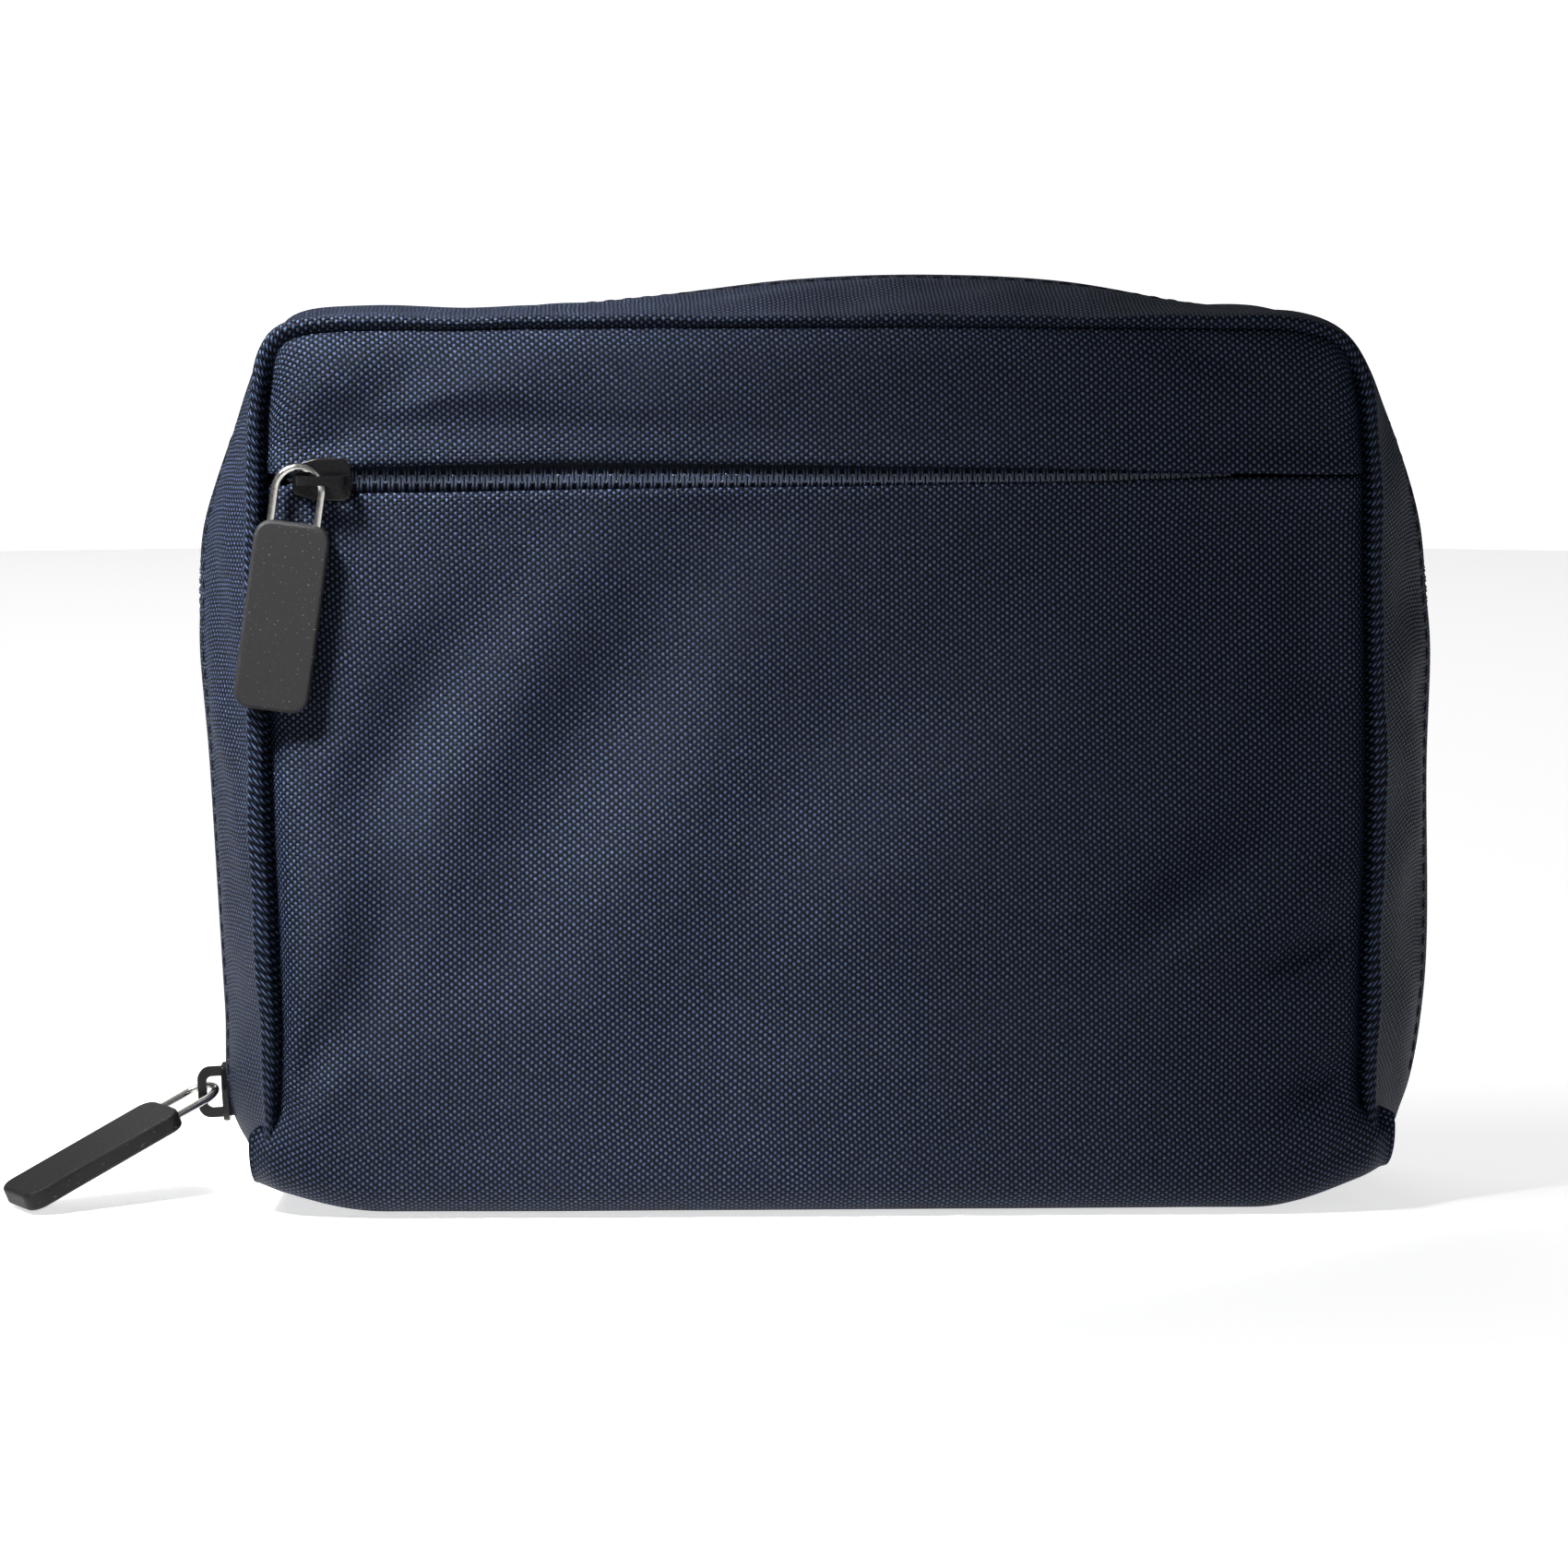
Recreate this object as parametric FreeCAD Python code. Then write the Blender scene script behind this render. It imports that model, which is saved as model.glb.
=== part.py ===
import FreeCAD
import Part

import math
import os

# Zipped travel document organizer: a soft pouch of two half shells that meet at a zip.
# Millimetres. +X to the wearer's right of the front face, +Y towards the back, +Z up.
# The origin is the middle of the underside. The front face is at -Y.

# ---- driving dimensions -------------------------------------------------------------------
FACE_WIDTH = 192.0
FACE_HEIGHT = 154.0
DEPTH = 54.0
ZIP_RISE = 4.0            # how far the zip line stands above the face at the corners
ZIP_FLARE_BOTTOM = 6.5    # how far the zip line stands outside the face, at the floor
ZIP_FLARE_TOP = 14.5      # the same, at the height of the top
ZIP_CROWN = 5.0           # the top of the pouch domes up between the corners
FACE_CROWN = 0.6
FACE_RADIUS_TOP = 9.0
FACE_RADIUS_BOTTOM = 6.0
ZIP_RADIUS_TOP = 36.0
ZIP_RADIUS_BOTTOM = 12.0

FABRIC = 0.8              # outer woven polyester, coated
LINING = 0.6
FOAM = 1.8
GAP = 0.2                 # air between loose layers
SHELL_GAP = 0.5           # from the zip's middle plane to each row of coil

COIL_ROW = 2.1            # width of one row of coil
COIL_THICK = 2.0
TAPE_THICK = 0.6
TAPE_WIDTH = 11.0
ZIP_FLAT = 5.0            # the gusset runs straight this far each side of the zip

SLIDER_LENGTH = 10.0
SLIDER_WIDTH = 7.4
SLIDER_PLATE = 1.15
BAIL_LENGTH = 9.0
BAIL_REACH = 4.4
BAIL_BAR = 1.6
WIRE = 1.4
RING_WIDTH = 9.4
TAB_LENGTH = 32.5
TAB_WIDTH = 13.0
TAB_THICK = 3.4
TAB_RADIUS = 3.0

POCKET_ZIP_HEIGHT = 128.5
POCKET_ZIP_LEFT = -92.0
POCKET_ZIP_RIGHT = 72.0
POCKET_SLIDER_X = -86.0
POCKET_PULL_LEAN = 8.0    # degrees the hanging pull leans to the left
MAIN_SLIDER_HEIGHT = 18.0
MAIN_PULL_FORWARD = 30.0  # degrees the pull points forward of sideways
FLOOR_CLEAR = 0.15

# ---- sizes that follow ----------------------------------------------------------------------
HALF_DEPTH = DEPTH / 2
FACE_HALF = FACE_WIDTH / 2
FRONT_Y = -HALF_DEPTH
LEAN = (ZIP_FLARE_TOP - ZIP_FLARE_BOTTOM) / (FACE_HEIGHT + ZIP_RISE)
BOTTOM_TOP = FABRIC + LINING + 0.1
GUSSET_FOOT = 4.0
ZIP_FOOT = 8.0            # where the main zip's lower ends stop
GUSSET_EDGE = SHELL_GAP + COIL_ROW + 0.3
COIL_OUT = COIL_THICK / 2
TAPE_IN = COIL_OUT + 0.3
SLIDER_CLEAR = 0.25
PLATE_OUT = COIL_OUT + SLIDER_CLEAR
PLATE_IN = TAPE_IN + TAPE_THICK + SLIDER_CLEAR
BAIL_ROOT = PLATE_OUT + SLIDER_PLATE
BAR_CENTRE = BAIL_ROOT + BAIL_REACH - BAIL_BAR / 2
RING_RADIUS = (RING_WIDTH - WIRE) / 2
ARCH_BACK = 2.2           # from the pivot to the middle of the wire behind it
TAB_START = 7.3
EMBED = 5.0               # wire length inside the tab
POCKET_ZIP_Y = FRONT_Y + 0.6


def vec(x, y, z):
    return FreeCAD.Vector(x, y, z)


def box(x0, x1, y0, y1, z0, z1):
    return Part.makeBox(x1 - x0, y1 - y0, z1 - z0, vec(x0, y0, z0))


def fillet_corner(before, corner, after, radius):
    """Start, middle and end of the arc that rounds one corner of a flat outline."""
    into = (corner - before).normalize()
    out = (after - corner).normalize()
    turn = into.getAngle(out)
    reach = radius * math.tan(turn / 2)
    start = corner - into * reach
    end = corner + out * reach
    inward = (out - into).normalize()
    centre = corner + inward * (radius / math.cos(turn / 2))
    return start, centre - inward * radius, end


def rounded_wire(points, radii, crown_edge=None, crown=0.0):
    """A closed wire through corner points, each rounded; one edge may bow along +Z."""
    count = len(points)
    arcs = [fillet_corner(points[i - 1], points[i], points[(i + 1) % count], radii[i])
            for i in range(count)]
    edges = []
    for i in range(count):
        start, middle, end = arcs[i]
        edges.append(Part.Arc(start, middle, end).toShape())
        onward = arcs[(i + 1) % count][0]
        if i == crown_edge:
            apex = (end + onward) * 0.5 + vec(0, 0, crown)
            edges.append(Part.Arc(end, apex, onward).toShape())
        else:
            edges.append(Part.LineSegment(end, onward).toShape())
    return Part.Wire(edges)


def mix(at_zip, at_face, share):
    return at_zip + (at_face - at_zip) * share


def outline(y, inset):
    """The pouch's cross-section at depth y, drawn in by inset. It is widest at the zip."""
    share = max(0.0, abs(y) - ZIP_FLAT) / (HALF_DEPTH - ZIP_FLAT)
    base = mix(FACE_HALF + ZIP_FLARE_BOTTOM, FACE_HALF, share)
    height = mix(FACE_HEIGHT + ZIP_RISE, FACE_HEIGHT, share)
    lean = (mix(FACE_HALF + ZIP_FLARE_TOP, FACE_HALF, share) - base) / height
    drawn = inset * math.hypot(1, lean)
    top = height - inset
    low = base + lean * inset - drawn
    high = base + lean * top - drawn
    radius_top = mix(ZIP_RADIUS_TOP, FACE_RADIUS_TOP, share) - inset
    radius_bottom = mix(ZIP_RADIUS_BOTTOM, FACE_RADIUS_BOTTOM, share) - inset
    corners = [vec(-low, y, inset), vec(low, y, inset), vec(high, y, top), vec(-high, y, top)]
    radii = [radius_bottom, radius_bottom, radius_top, radius_top]
    return rounded_wire(corners, radii, 2, mix(ZIP_CROWN, FACE_CROWN, share))


def tapered(y0, y1, inset):
    """A solid between two depths, which turns where the gusset starts to flare."""
    turn = math.copysign(ZIP_FLAT, y0 + y1)
    depths = sorted({y0, y1} | ({turn} if min(y0, y1) < turn < max(y0, y1) else set()))
    return Part.makeLoft([outline(y, inset) for y in depths], True, True)


def band(y0, y1, inset, thick, foot):
    """A strip of the gusset between two depths: left side, top and right side, cut at foot."""
    over = 0.5 if y1 > y0 else -0.5
    skin = tapered(y0, y1, inset).cut(tapered(y0 - over, y1 + over, inset + thick))
    wide = FACE_WIDTH
    return skin.cut(box(-wide, wide, -DEPTH, DEPTH, -1, foot))


def face_plate(y0, y1, inset, z0, z1):
    """A sheet that fills the face outline, drawn in by inset, between two heights."""
    near = min(y0, y1)
    thick = abs(y1 - y0)
    edge = outline(math.copysign(HALF_DEPTH, near), inset)
    edge.translate(vec(0, near - edge.BoundBox.YMin, 0))
    sheet = Part.Face(edge).extrude(vec(0, thick, 0))
    return sheet.common(box(-FACE_WIDTH, FACE_WIDTH, near - 1, near + thick + 1, z0, z1))


def panel(x0, x1, y0, y1, z0, z1, radius):
    """A flat pocket panel with rounded corners."""
    corners = [vec(x0, y0, z0), vec(x1, y0, z0), vec(x1, y0, z1), vec(x0, y0, z1)]
    return Part.Face(rounded_wire(corners, [radius] * 4)).extrude(vec(0, y1 - y0, 0))


def seam_strips(x0, x1, y0, y1, z0, z1, wide):
    """The sewn edges that hold a pocket panel off its backing: left, right and bottom."""
    left = box(x0, x0 + wide, y0, y1, z0 + wide + 0.1, z1)
    right = box(x1 - wide, x1, y0, y1, z0 + wide + 0.1, z1)
    bottom = box(x0, x1, y0, y1, z0, z0 + wide)
    return Part.makeCompound([left, right, bottom])


# ---- back half shell ------------------------------------------------------------------------
def bottom_panel():
    low = FACE_HALF - FACE_RADIUS_BOTTOM
    middle = FACE_HALF + ZIP_FLARE_BOTTOM - ZIP_RADIUS_BOTTOM
    y = HALF_DEPTH
    corners = [vec(-low, -y, 0), vec(low, -y, 0), vec(middle, 0, 0),
               vec(low, y, 0), vec(-low, y, 0), vec(-middle, 0, 0)]
    return Part.Face(rounded_wire(corners, [2.0] * 6)).extrude(vec(0, 0, FABRIC))


def bottom_lining():
    half = FACE_HALF - FACE_RADIUS_BOTTOM - 4
    return box(-half, half, FRONT_Y + 9, HALF_DEPTH - 4.5, FABRIC, FABRIC + LINING)


def back_pieces():
    y = HALF_DEPTH
    nodes = {
        "bottom_panel": bottom_panel(),
        "bottom_lining": bottom_lining(),
        "back_panel": face_plate(y - FABRIC, y, 0, FABRIC, FACE_HEIGHT * 2),
        "back_gusset": band(y - FABRIC - 0.05, GUSSET_EDGE, 0, 1.0, BOTTOM_TOP),
    }
    foam_y = y - FABRIC - GAP - FOAM
    nodes["back_foam"] = face_plate(foam_y, foam_y + FOAM, 4, BOTTOM_TOP, FACE_HEIGHT)
    lining_y = foam_y - GAP - LINING
    nodes["back_lining"] = face_plate(lining_y, lining_y + LINING, 4, BOTTOM_TOP, FACE_HEIGHT)
    nodes.update(back_pockets(lining_y))
    return nodes


def back_pockets(lining_y):
    """A full-width document sleeve, with a passport sleeve and stepped card slots on it."""
    wide = FACE_HALF - 6
    sleeve_y = lining_y - 3.0
    nodes = {
        "document_sleeve_seams": seam_strips(-wide, wide, sleeve_y, lining_y, 6, 116, 3),
        "document_sleeve": panel(-wide, wide, sleeve_y - LINING, sleeve_y, 6, 118, 3),
    }
    face_y = sleeve_y - LINING
    pass_y = face_y - 2.6
    nodes["passport_sleeve_seams"] = seam_strips(-86, 8, pass_y, face_y, 10, 104, 3)
    nodes["passport_sleeve"] = panel(-86, 8, pass_y - LINING, pass_y, 10, 106, 3)
    for step in range(3):
        card_y = face_y - GAP - step * (LINING + GAP)
        top = 64 - 12 * step
        nodes[f"card_slot_{step + 1}"] = panel(12, 88, card_y - LINING, card_y, 10, top, 2)
    nodes["pen_loop"] = pen_loop(lining_y)
    return nodes


def pen_loop(lining_y):
    """An elastic loop, sewn flat at its ends, that holds a pen lying sideways."""
    inner = 5.0
    wall = 0.8
    height = 134.0
    x0 = 30.0
    length = 22.0
    centre = vec(x0, lining_y - inner - wall, height)
    tube = Part.makeCylinder(inner + wall, length, centre, vec(1, 0, 0))
    base = lining_y
    foot = box(x0, x0 + length, base - wall, base, height - 9, height + 9)
    neck = box(x0, x0 + length, base - inner, base, height - inner - wall, height + inner + wall)
    hole = Part.makeCylinder(inner, length + 2, centre - vec(1, 0, 0), vec(1, 0, 0))
    return tube.fuse(foot).fuse(neck).cut(hole).removeSplitter()


def zip_end_tabs():
    """Fabric tabs sewn over the two lower ends of the main zip."""
    patch = band(-1.8, 9.0, -1.2, 1.1, BOTTOM_TOP)
    wide = FACE_WIDTH
    return patch.common(box(-wide, wide, -DEPTH, DEPTH, 2.0, ZIP_FOOT - 0.3))


# ---- main zip -------------------------------------------------------------------------------
def zip_half(side, foot_left, foot_right):
    """Tape and coil row of one side of the main zip; side is -1 at the front, 1 at the back."""
    near = side * SHELL_GAP
    coil = band(side * (SHELL_GAP + COIL_ROW), near, -COIL_OUT, COIL_THICK, foot_right)
    tape = band(side * TAPE_WIDTH, side * 1.2, TAPE_IN, TAPE_THICK, foot_right)
    under = box(-FACE_WIDTH, 0, -DEPTH, DEPTH, -1, foot_left)
    return tape.cut(under), coil.cut(under)


# ---- front half shell -----------------------------------------------------------------------
def front_pieces():
    y = FRONT_Y
    zip_z = POCKET_ZIP_HEIGHT
    slit = 3.0
    foot = BOTTOM_TOP + 0.4
    opening = box(POCKET_ZIP_LEFT - 0.5, POCKET_ZIP_RIGHT + 4.5, y - 1, y + FABRIC + 1,
                  zip_z - slit, zip_z + slit)
    lower = face_plate(y, y + FABRIC, 0, foot, zip_z + slit - 0.1)
    nodes = {
        "front_upper_panel": face_plate(y, y + FABRIC, 0, zip_z + slit, FACE_HEIGHT * 2),
        "front_lower_panel": lower.cut(opening),
        "front_gusset": band(y + FABRIC + 0.05, -GUSSET_EDGE, 0, 1.0, GUSSET_FOOT),
    }
    nodes.update(pocket_zip())
    nodes.update(front_inside(foot))
    return nodes


def pocket_zip():
    """The front pocket's zip: two tapes, two coil rows and the stops at their ends."""
    y = POCKET_ZIP_Y
    z = POCKET_ZIP_HEIGHT
    left = POCKET_ZIP_LEFT
    right = POCKET_ZIP_RIGHT
    nodes = {}
    for name, side in (("lower", -1), ("upper", 1)):
        rows = sorted((z + side * SHELL_GAP, z + side * (SHELL_GAP + COIL_ROW)))
        cloth = sorted((z + side * 1.2, z + side * TAPE_WIDTH))
        nodes[f"pocket_coil_{name}"] = box(left + 2, right, y - COIL_OUT, y + COIL_OUT, *rows)
        tape_y = y + TAPE_IN
        nodes[f"pocket_tape_{name}"] = box(left, right + 4, tape_y, tape_y + TAPE_THICK, *cloth)
    reach = SHELL_GAP + COIL_ROW
    stop = box(right + 0.2, right + 2.2, y - COIL_OUT, y + COIL_OUT, z - reach, z + reach)
    first = box(left, left + 1.4, y - COIL_OUT * 0.6, y + COIL_OUT, z - reach, z - reach + 2)
    second = box(left, left + 1.4, y - COIL_OUT * 0.6, y + COIL_OUT, z + reach - 2, z + reach)
    nodes["pocket_zip_stops"] = Part.makeCompound([stop, first, second])
    return nodes


def front_inside(foot):
    """Pocket bag, foam and lining of the front shell, and the mesh pocket inside it."""
    inner_plate = POCKET_ZIP_Y + PLATE_IN + SLIDER_PLATE
    strip_y = inner_plate + 0.3
    wall_y = strip_y + 5.0
    half = FACE_HALF - 4
    low = foot + 2
    high = FACE_HEIGHT - 8
    sides = [box(x, x + 4, FRONT_Y + FABRIC + 0.1, wall_y - 0.05, low + 4.1, 117)
             for x in (-half, half - 4)]
    floor = box(-half, half, FRONT_Y + FABRIC + 0.1, wall_y - 0.05, low, low + 4)
    lid = box(-half + 4, half - 4, FRONT_Y + FABRIC + 0.1, wall_y - 0.05, high, high + 3)
    foam_y = wall_y + LINING + GAP
    lining_y = foam_y + FOAM + GAP
    nodes = {
        "front_seam_binding": Part.makeCompound(sides + [floor, lid]),
        "pocket_bag_wall": face_plate(wall_y, wall_y + LINING, 4, foot, FACE_HEIGHT),
        "front_foam": face_plate(foam_y, foam_y + FOAM, 4, foot, FACE_HEIGHT),
        "front_lining": face_plate(lining_y, lining_y + LINING, 4, foot, FACE_HEIGHT),
    }
    base = lining_y + LINING
    mesh_y = base + 3.0
    wide = FACE_HALF - 8
    nodes["mesh_pocket_seams"] = seam_strips(-wide, wide, base, mesh_y, 8, 92, 3)
    nodes["mesh_pocket"] = panel(-wide, wide, mesh_y, mesh_y + LINING, 8, 88, 3)
    nodes["mesh_pocket_elastic"] = box(-wide, wide, mesh_y, mesh_y + LINING + 0.4, 88.1, 94)
    return nodes


# ---- sliders and pulls ----------------------------------------------------------------------
# A slider is built around the zip line: it travels along Z, its outer plate is towards -X,
# and x = 0 is the middle of the coil's thickness.
def slider_plate(x0, x1, narrow):
    """One plate, a shield that narrows at the end where the rows are joined."""
    half = SLIDER_WIDTH / 2
    tip = half - narrow
    end = SLIDER_LENGTH / 2
    corners = [vec(x0, -half, -end), vec(x0, half, -end), vec(x0, half, 1.0),
               vec(x0, tip, end), vec(x0, -tip, end), vec(x0, -half, 1.0)]
    wire = rounded_wire(corners, [1.6, 1.6, 2.0, 1.0, 1.0, 2.0])
    return Part.Face(wire).extrude(vec(x1 - x0, 0, 0))


def slider_body():
    outer = slider_plate(-BAIL_ROOT, -PLATE_OUT, 1.2)
    outer = outer.makeFillet(0.35, [e for e in outer.Edges if on_plane(e, -BAIL_ROOT)])
    inner = slider_plate(PLATE_IN, PLATE_IN + SLIDER_PLATE, 1.2)
    post = box(-PLATE_OUT, PLATE_IN, -0.3, 0.3, -SLIDER_LENGTH / 2 + 0.6, -0.6)
    return outer.fuse(post).fuse(inner)


def on_plane(edge, x):
    bounds = edge.BoundBox
    return abs(bounds.XMin - x) < 1e-6 and abs(bounds.XMax - x) < 1e-6


def slider_bail():
    """The bridge on the slider's outer plate, a D that the pull's wire goes through."""
    half = BAIL_LENGTH / 2
    out = -BAIL_ROOT - BAIL_REACH
    past = -BAIL_ROOT + 3.0
    y = -BAIL_BAR / 2
    ring = [vec(past, y, -half), vec(past, y, half), vec(out, y, half), vec(out, y, -half)]
    hole_half = half - BAIL_BAR
    gap = out + BAIL_BAR
    hole = [vec(past + 1, y, -hole_half), vec(past + 1, y, hole_half),
            vec(gap, y, hole_half), vec(gap, y, -hole_half)]
    solid = Part.Face(rounded_wire(ring, [0.2, 0.2, 2.2, 2.2])).extrude(vec(0, BAIL_BAR, 0))
    void = Part.Face(rounded_wire(hole, [0.2, 0.2, 1.0, 1.0])).extrude(vec(0, BAIL_BAR, 0))
    keep = box(out - 1, -BAIL_ROOT, -DEPTH, DEPTH, -half - 1, half + 1)
    return solid.cut(void).common(keep)


# A pull hangs along -Z from a pivot at the origin, with its wire in the plane y = 0.
def pull_wire():
    """A wire bent into a U, whose closed end hooks round the pivot."""
    centre_z = ARCH_BACK - RING_RADIUS
    foot_z = -TAB_START - EMBED
    left = vec(-RING_RADIUS, 0, foot_z)
    right = vec(RING_RADIUS, 0, foot_z)
    shoulder_left = vec(-RING_RADIUS, 0, centre_z)
    shoulder_right = vec(RING_RADIUS, 0, centre_z)
    path = Part.Wire([
        Part.LineSegment(left, shoulder_left).toShape(),
        Part.Arc(shoulder_left, vec(0, 0, ARCH_BACK), shoulder_right).toShape(),
        Part.LineSegment(shoulder_right, right).toShape(),
    ])
    ring = Part.Wire(Part.makeCircle(WIRE / 2, left, vec(0, 0, 1)))
    return path.makePipeShell([ring], True, False)


def pull_tab():
    """The moulded rubber grip, with the wire's ends inside it."""
    half = TAB_WIDTH / 2
    low = -TAB_START - TAB_LENGTH
    y = -TAB_THICK / 2
    corners = [vec(-half, y, low), vec(half, y, low), vec(half, y, -TAB_START),
               vec(-half, y, -TAB_START)]
    slab = Part.Face(rounded_wire(corners, [TAB_RADIUS] * 4)).extrude(vec(0, TAB_THICK, 0))
    rims = [e for e in slab.Edges if e.BoundBox.YLength < 1e-6]
    return slab.makeFillet(0.7, rims).cut(pull_wire())


def turn_and_move(shape, axes, place):
    """Move a shape so that its own X, Y and Z point along the given axes."""
    x, y, z = axes
    matrix = FreeCAD.Matrix(x.x, y.x, z.x, place.x, x.y, y.y, z.y, place.y,
                            x.z, y.z, z.z, place.z, 0, 0, 0, 1)
    moved = shape.copy()
    moved.Placement = FreeCAD.Placement(matrix).multiply(shape.Placement)
    return moved


def main_slider_frame():
    """Axes and place of the main slider, on the straight left run of the zip."""
    up = vec(-LEAN, 0, 1).normalize()
    inward = vec(1, 0, LEAN).normalize()
    x = -(FACE_HALF + ZIP_FLARE_BOTTOM + LEAN * MAIN_SLIDER_HEIGHT)
    return (inward, vec(0, 1, 0), up), vec(x, 0, MAIN_SLIDER_HEIGHT)


def pocket_slider_frame():
    """Axes and place of the pocket slider: it travels along +X and faces -Y."""
    axes = (vec(0, 1, 0), vec(0, 0, -1), vec(-1, 0, 0))
    return axes, vec(POCKET_SLIDER_X, POCKET_ZIP_Y, POCKET_ZIP_HEIGHT)


def main_pull_frame():
    """The pull leans on the floor: its pivot is the bail's bar, its far end is down."""
    axes, place = main_slider_frame()
    pivot = place - axes[0] * BAR_CENTRE
    drop = (pivot.z - TAB_THICK / 2 - FLOOR_CLEAR) / (TAB_START + TAB_LENGTH)
    slope = math.asin(drop)
    forward = math.radians(MAIN_PULL_FORWARD)
    flat = vec(-math.cos(forward), -math.sin(forward), 0)
    along = flat * math.cos(slope) + vec(0, 0, -math.sin(slope))
    across = vec(-math.sin(forward), math.cos(forward), 0)
    back = along * -1
    return (across, back.cross(across), back), pivot


def pocket_pull_frame():
    """The pull hangs round the bail's left post, and leans a little to the left."""
    lean = math.radians(POCKET_PULL_LEAN)
    post = (BAIL_LENGTH - BAIL_BAR) / 2
    hole = BAIL_ROOT + (BAIL_REACH - BAIL_BAR) / 2
    pivot = vec(POCKET_SLIDER_X - post, POCKET_ZIP_Y - hole, POCKET_ZIP_HEIGHT)
    across = vec(math.cos(lean), 0, -math.sin(lean))
    back = vec(math.sin(lean), 0, math.cos(lean))
    return (across, vec(0, 1, 0), back), pivot


def slider_pieces():
    nodes = {}
    for name, slider, pull in (("main", main_slider_frame, main_pull_frame),
                               ("pocket", pocket_slider_frame, pocket_pull_frame)):
        nodes[f"{name}_slider_body"] = turn_and_move(slider_body(), *slider())
        nodes[f"{name}_slider_bail"] = turn_and_move(slider_bail(), *slider())
        nodes[f"{name}_pull_wire"] = turn_and_move(pull_wire(), *pull())
        nodes[f"{name}_pull_tab"] = turn_and_move(pull_tab(), *pull())
    return nodes


def main():
    nodes = back_pieces()
    nodes["zip_end_tabs"] = zip_end_tabs()
    clear_of_slider = MAIN_SLIDER_HEIGHT + SLIDER_LENGTH / 2 + 1.0
    nodes["back_zip_tape"], nodes["back_zip_coil"] = zip_half(1, ZIP_FOOT, ZIP_FOOT)
    nodes["front_zip_tape"], nodes["front_zip_coil"] = zip_half(-1, clear_of_slider, ZIP_FOOT)
    nodes.update(front_pieces())
    nodes.update(slider_pieces())
    os.makedirs("parts", exist_ok=True)
    for name, shape in nodes.items():
        shape.exportStep(f"parts/{name}.step")
    print(len(nodes), "nodes")
    axes, pivot = main_pull_frame()
    print("main pull pivot", pivot, "axis", axes[0])
    print("pocket pull pivot", pocket_pull_frame()[1])
    print("main slide axis", main_slider_frame()[0][2])


main()
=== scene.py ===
import math

import bpy
import numpy as np
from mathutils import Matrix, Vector


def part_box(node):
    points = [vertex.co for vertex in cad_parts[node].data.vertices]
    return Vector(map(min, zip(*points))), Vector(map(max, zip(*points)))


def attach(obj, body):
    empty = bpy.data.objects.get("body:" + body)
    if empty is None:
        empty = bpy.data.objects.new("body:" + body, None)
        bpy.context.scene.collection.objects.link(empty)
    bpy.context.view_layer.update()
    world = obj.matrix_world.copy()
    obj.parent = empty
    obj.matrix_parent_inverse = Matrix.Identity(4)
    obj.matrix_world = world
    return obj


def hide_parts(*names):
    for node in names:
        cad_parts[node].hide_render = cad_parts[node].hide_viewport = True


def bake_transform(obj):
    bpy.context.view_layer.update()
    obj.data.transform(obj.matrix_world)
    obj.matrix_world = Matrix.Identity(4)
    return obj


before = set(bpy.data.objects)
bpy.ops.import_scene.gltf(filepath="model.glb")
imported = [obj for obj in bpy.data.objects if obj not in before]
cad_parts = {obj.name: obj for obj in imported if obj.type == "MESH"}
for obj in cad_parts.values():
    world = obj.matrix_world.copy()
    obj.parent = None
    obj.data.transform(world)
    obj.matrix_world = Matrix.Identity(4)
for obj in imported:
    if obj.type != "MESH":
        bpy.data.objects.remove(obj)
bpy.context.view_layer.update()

# Lengths below are millimetres; meshes are scaled to metres as they are made.
MM = 0.001

# ---- sizes read from the frame
def node_box(*names):
    """Lowest and highest corner of some CAD nodes together, in millimetres."""
    boxes = [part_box(n) for n in names]
    low = np.min([list(b[0]) for b in boxes], axis=0) / MM
    high = np.max([list(b[1]) for b in boxes], axis=0) / MM
    return low, high


COIL_LOW, COIL_HIGH = node_box("pocket_coil_lower", "pocket_coil_upper")
FRONT_Y = float(node_box("front_lower_panel", "front_upper_panel")[0][1])
BACK_Y = float(node_box("back_panel")[1][1])
ZIP_Z = float((COIL_LOW[2] + COIL_HIGH[2]) / 2)
ZIP_LEFT = float(COIL_LOW[0])
ZIP_RIGHT = float(COIL_HIGH[0])
ZIP_FRONT = float(COIL_LOW[1])
ZIP_EDGE_Y = 2.7          # where the gusset ends beside the main zip
CLOTH = 0.7               # thickness of the shown fabric
GROOVE = 3.6              # how deep the face sinks into its seam

rng = np.random.default_rng(11)


# ---- curves and noise
def length_along(line):
    """How far along a polyline each of its points is."""
    steps = np.linalg.norm(np.diff(line, axis=0), axis=1)
    return np.concatenate([[0], np.cumsum(steps)])


def sample(values, along, at):
    """Values that are given along a line, one row for each point, at the distances at."""
    return np.stack([np.interp(at, along, column) for column in values.T], axis=-1)


def even(line, count):
    """The same polyline with count points, evenly spaced."""
    along = length_along(line)
    return sample(line, along, np.linspace(0, along[-1], count))


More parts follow.
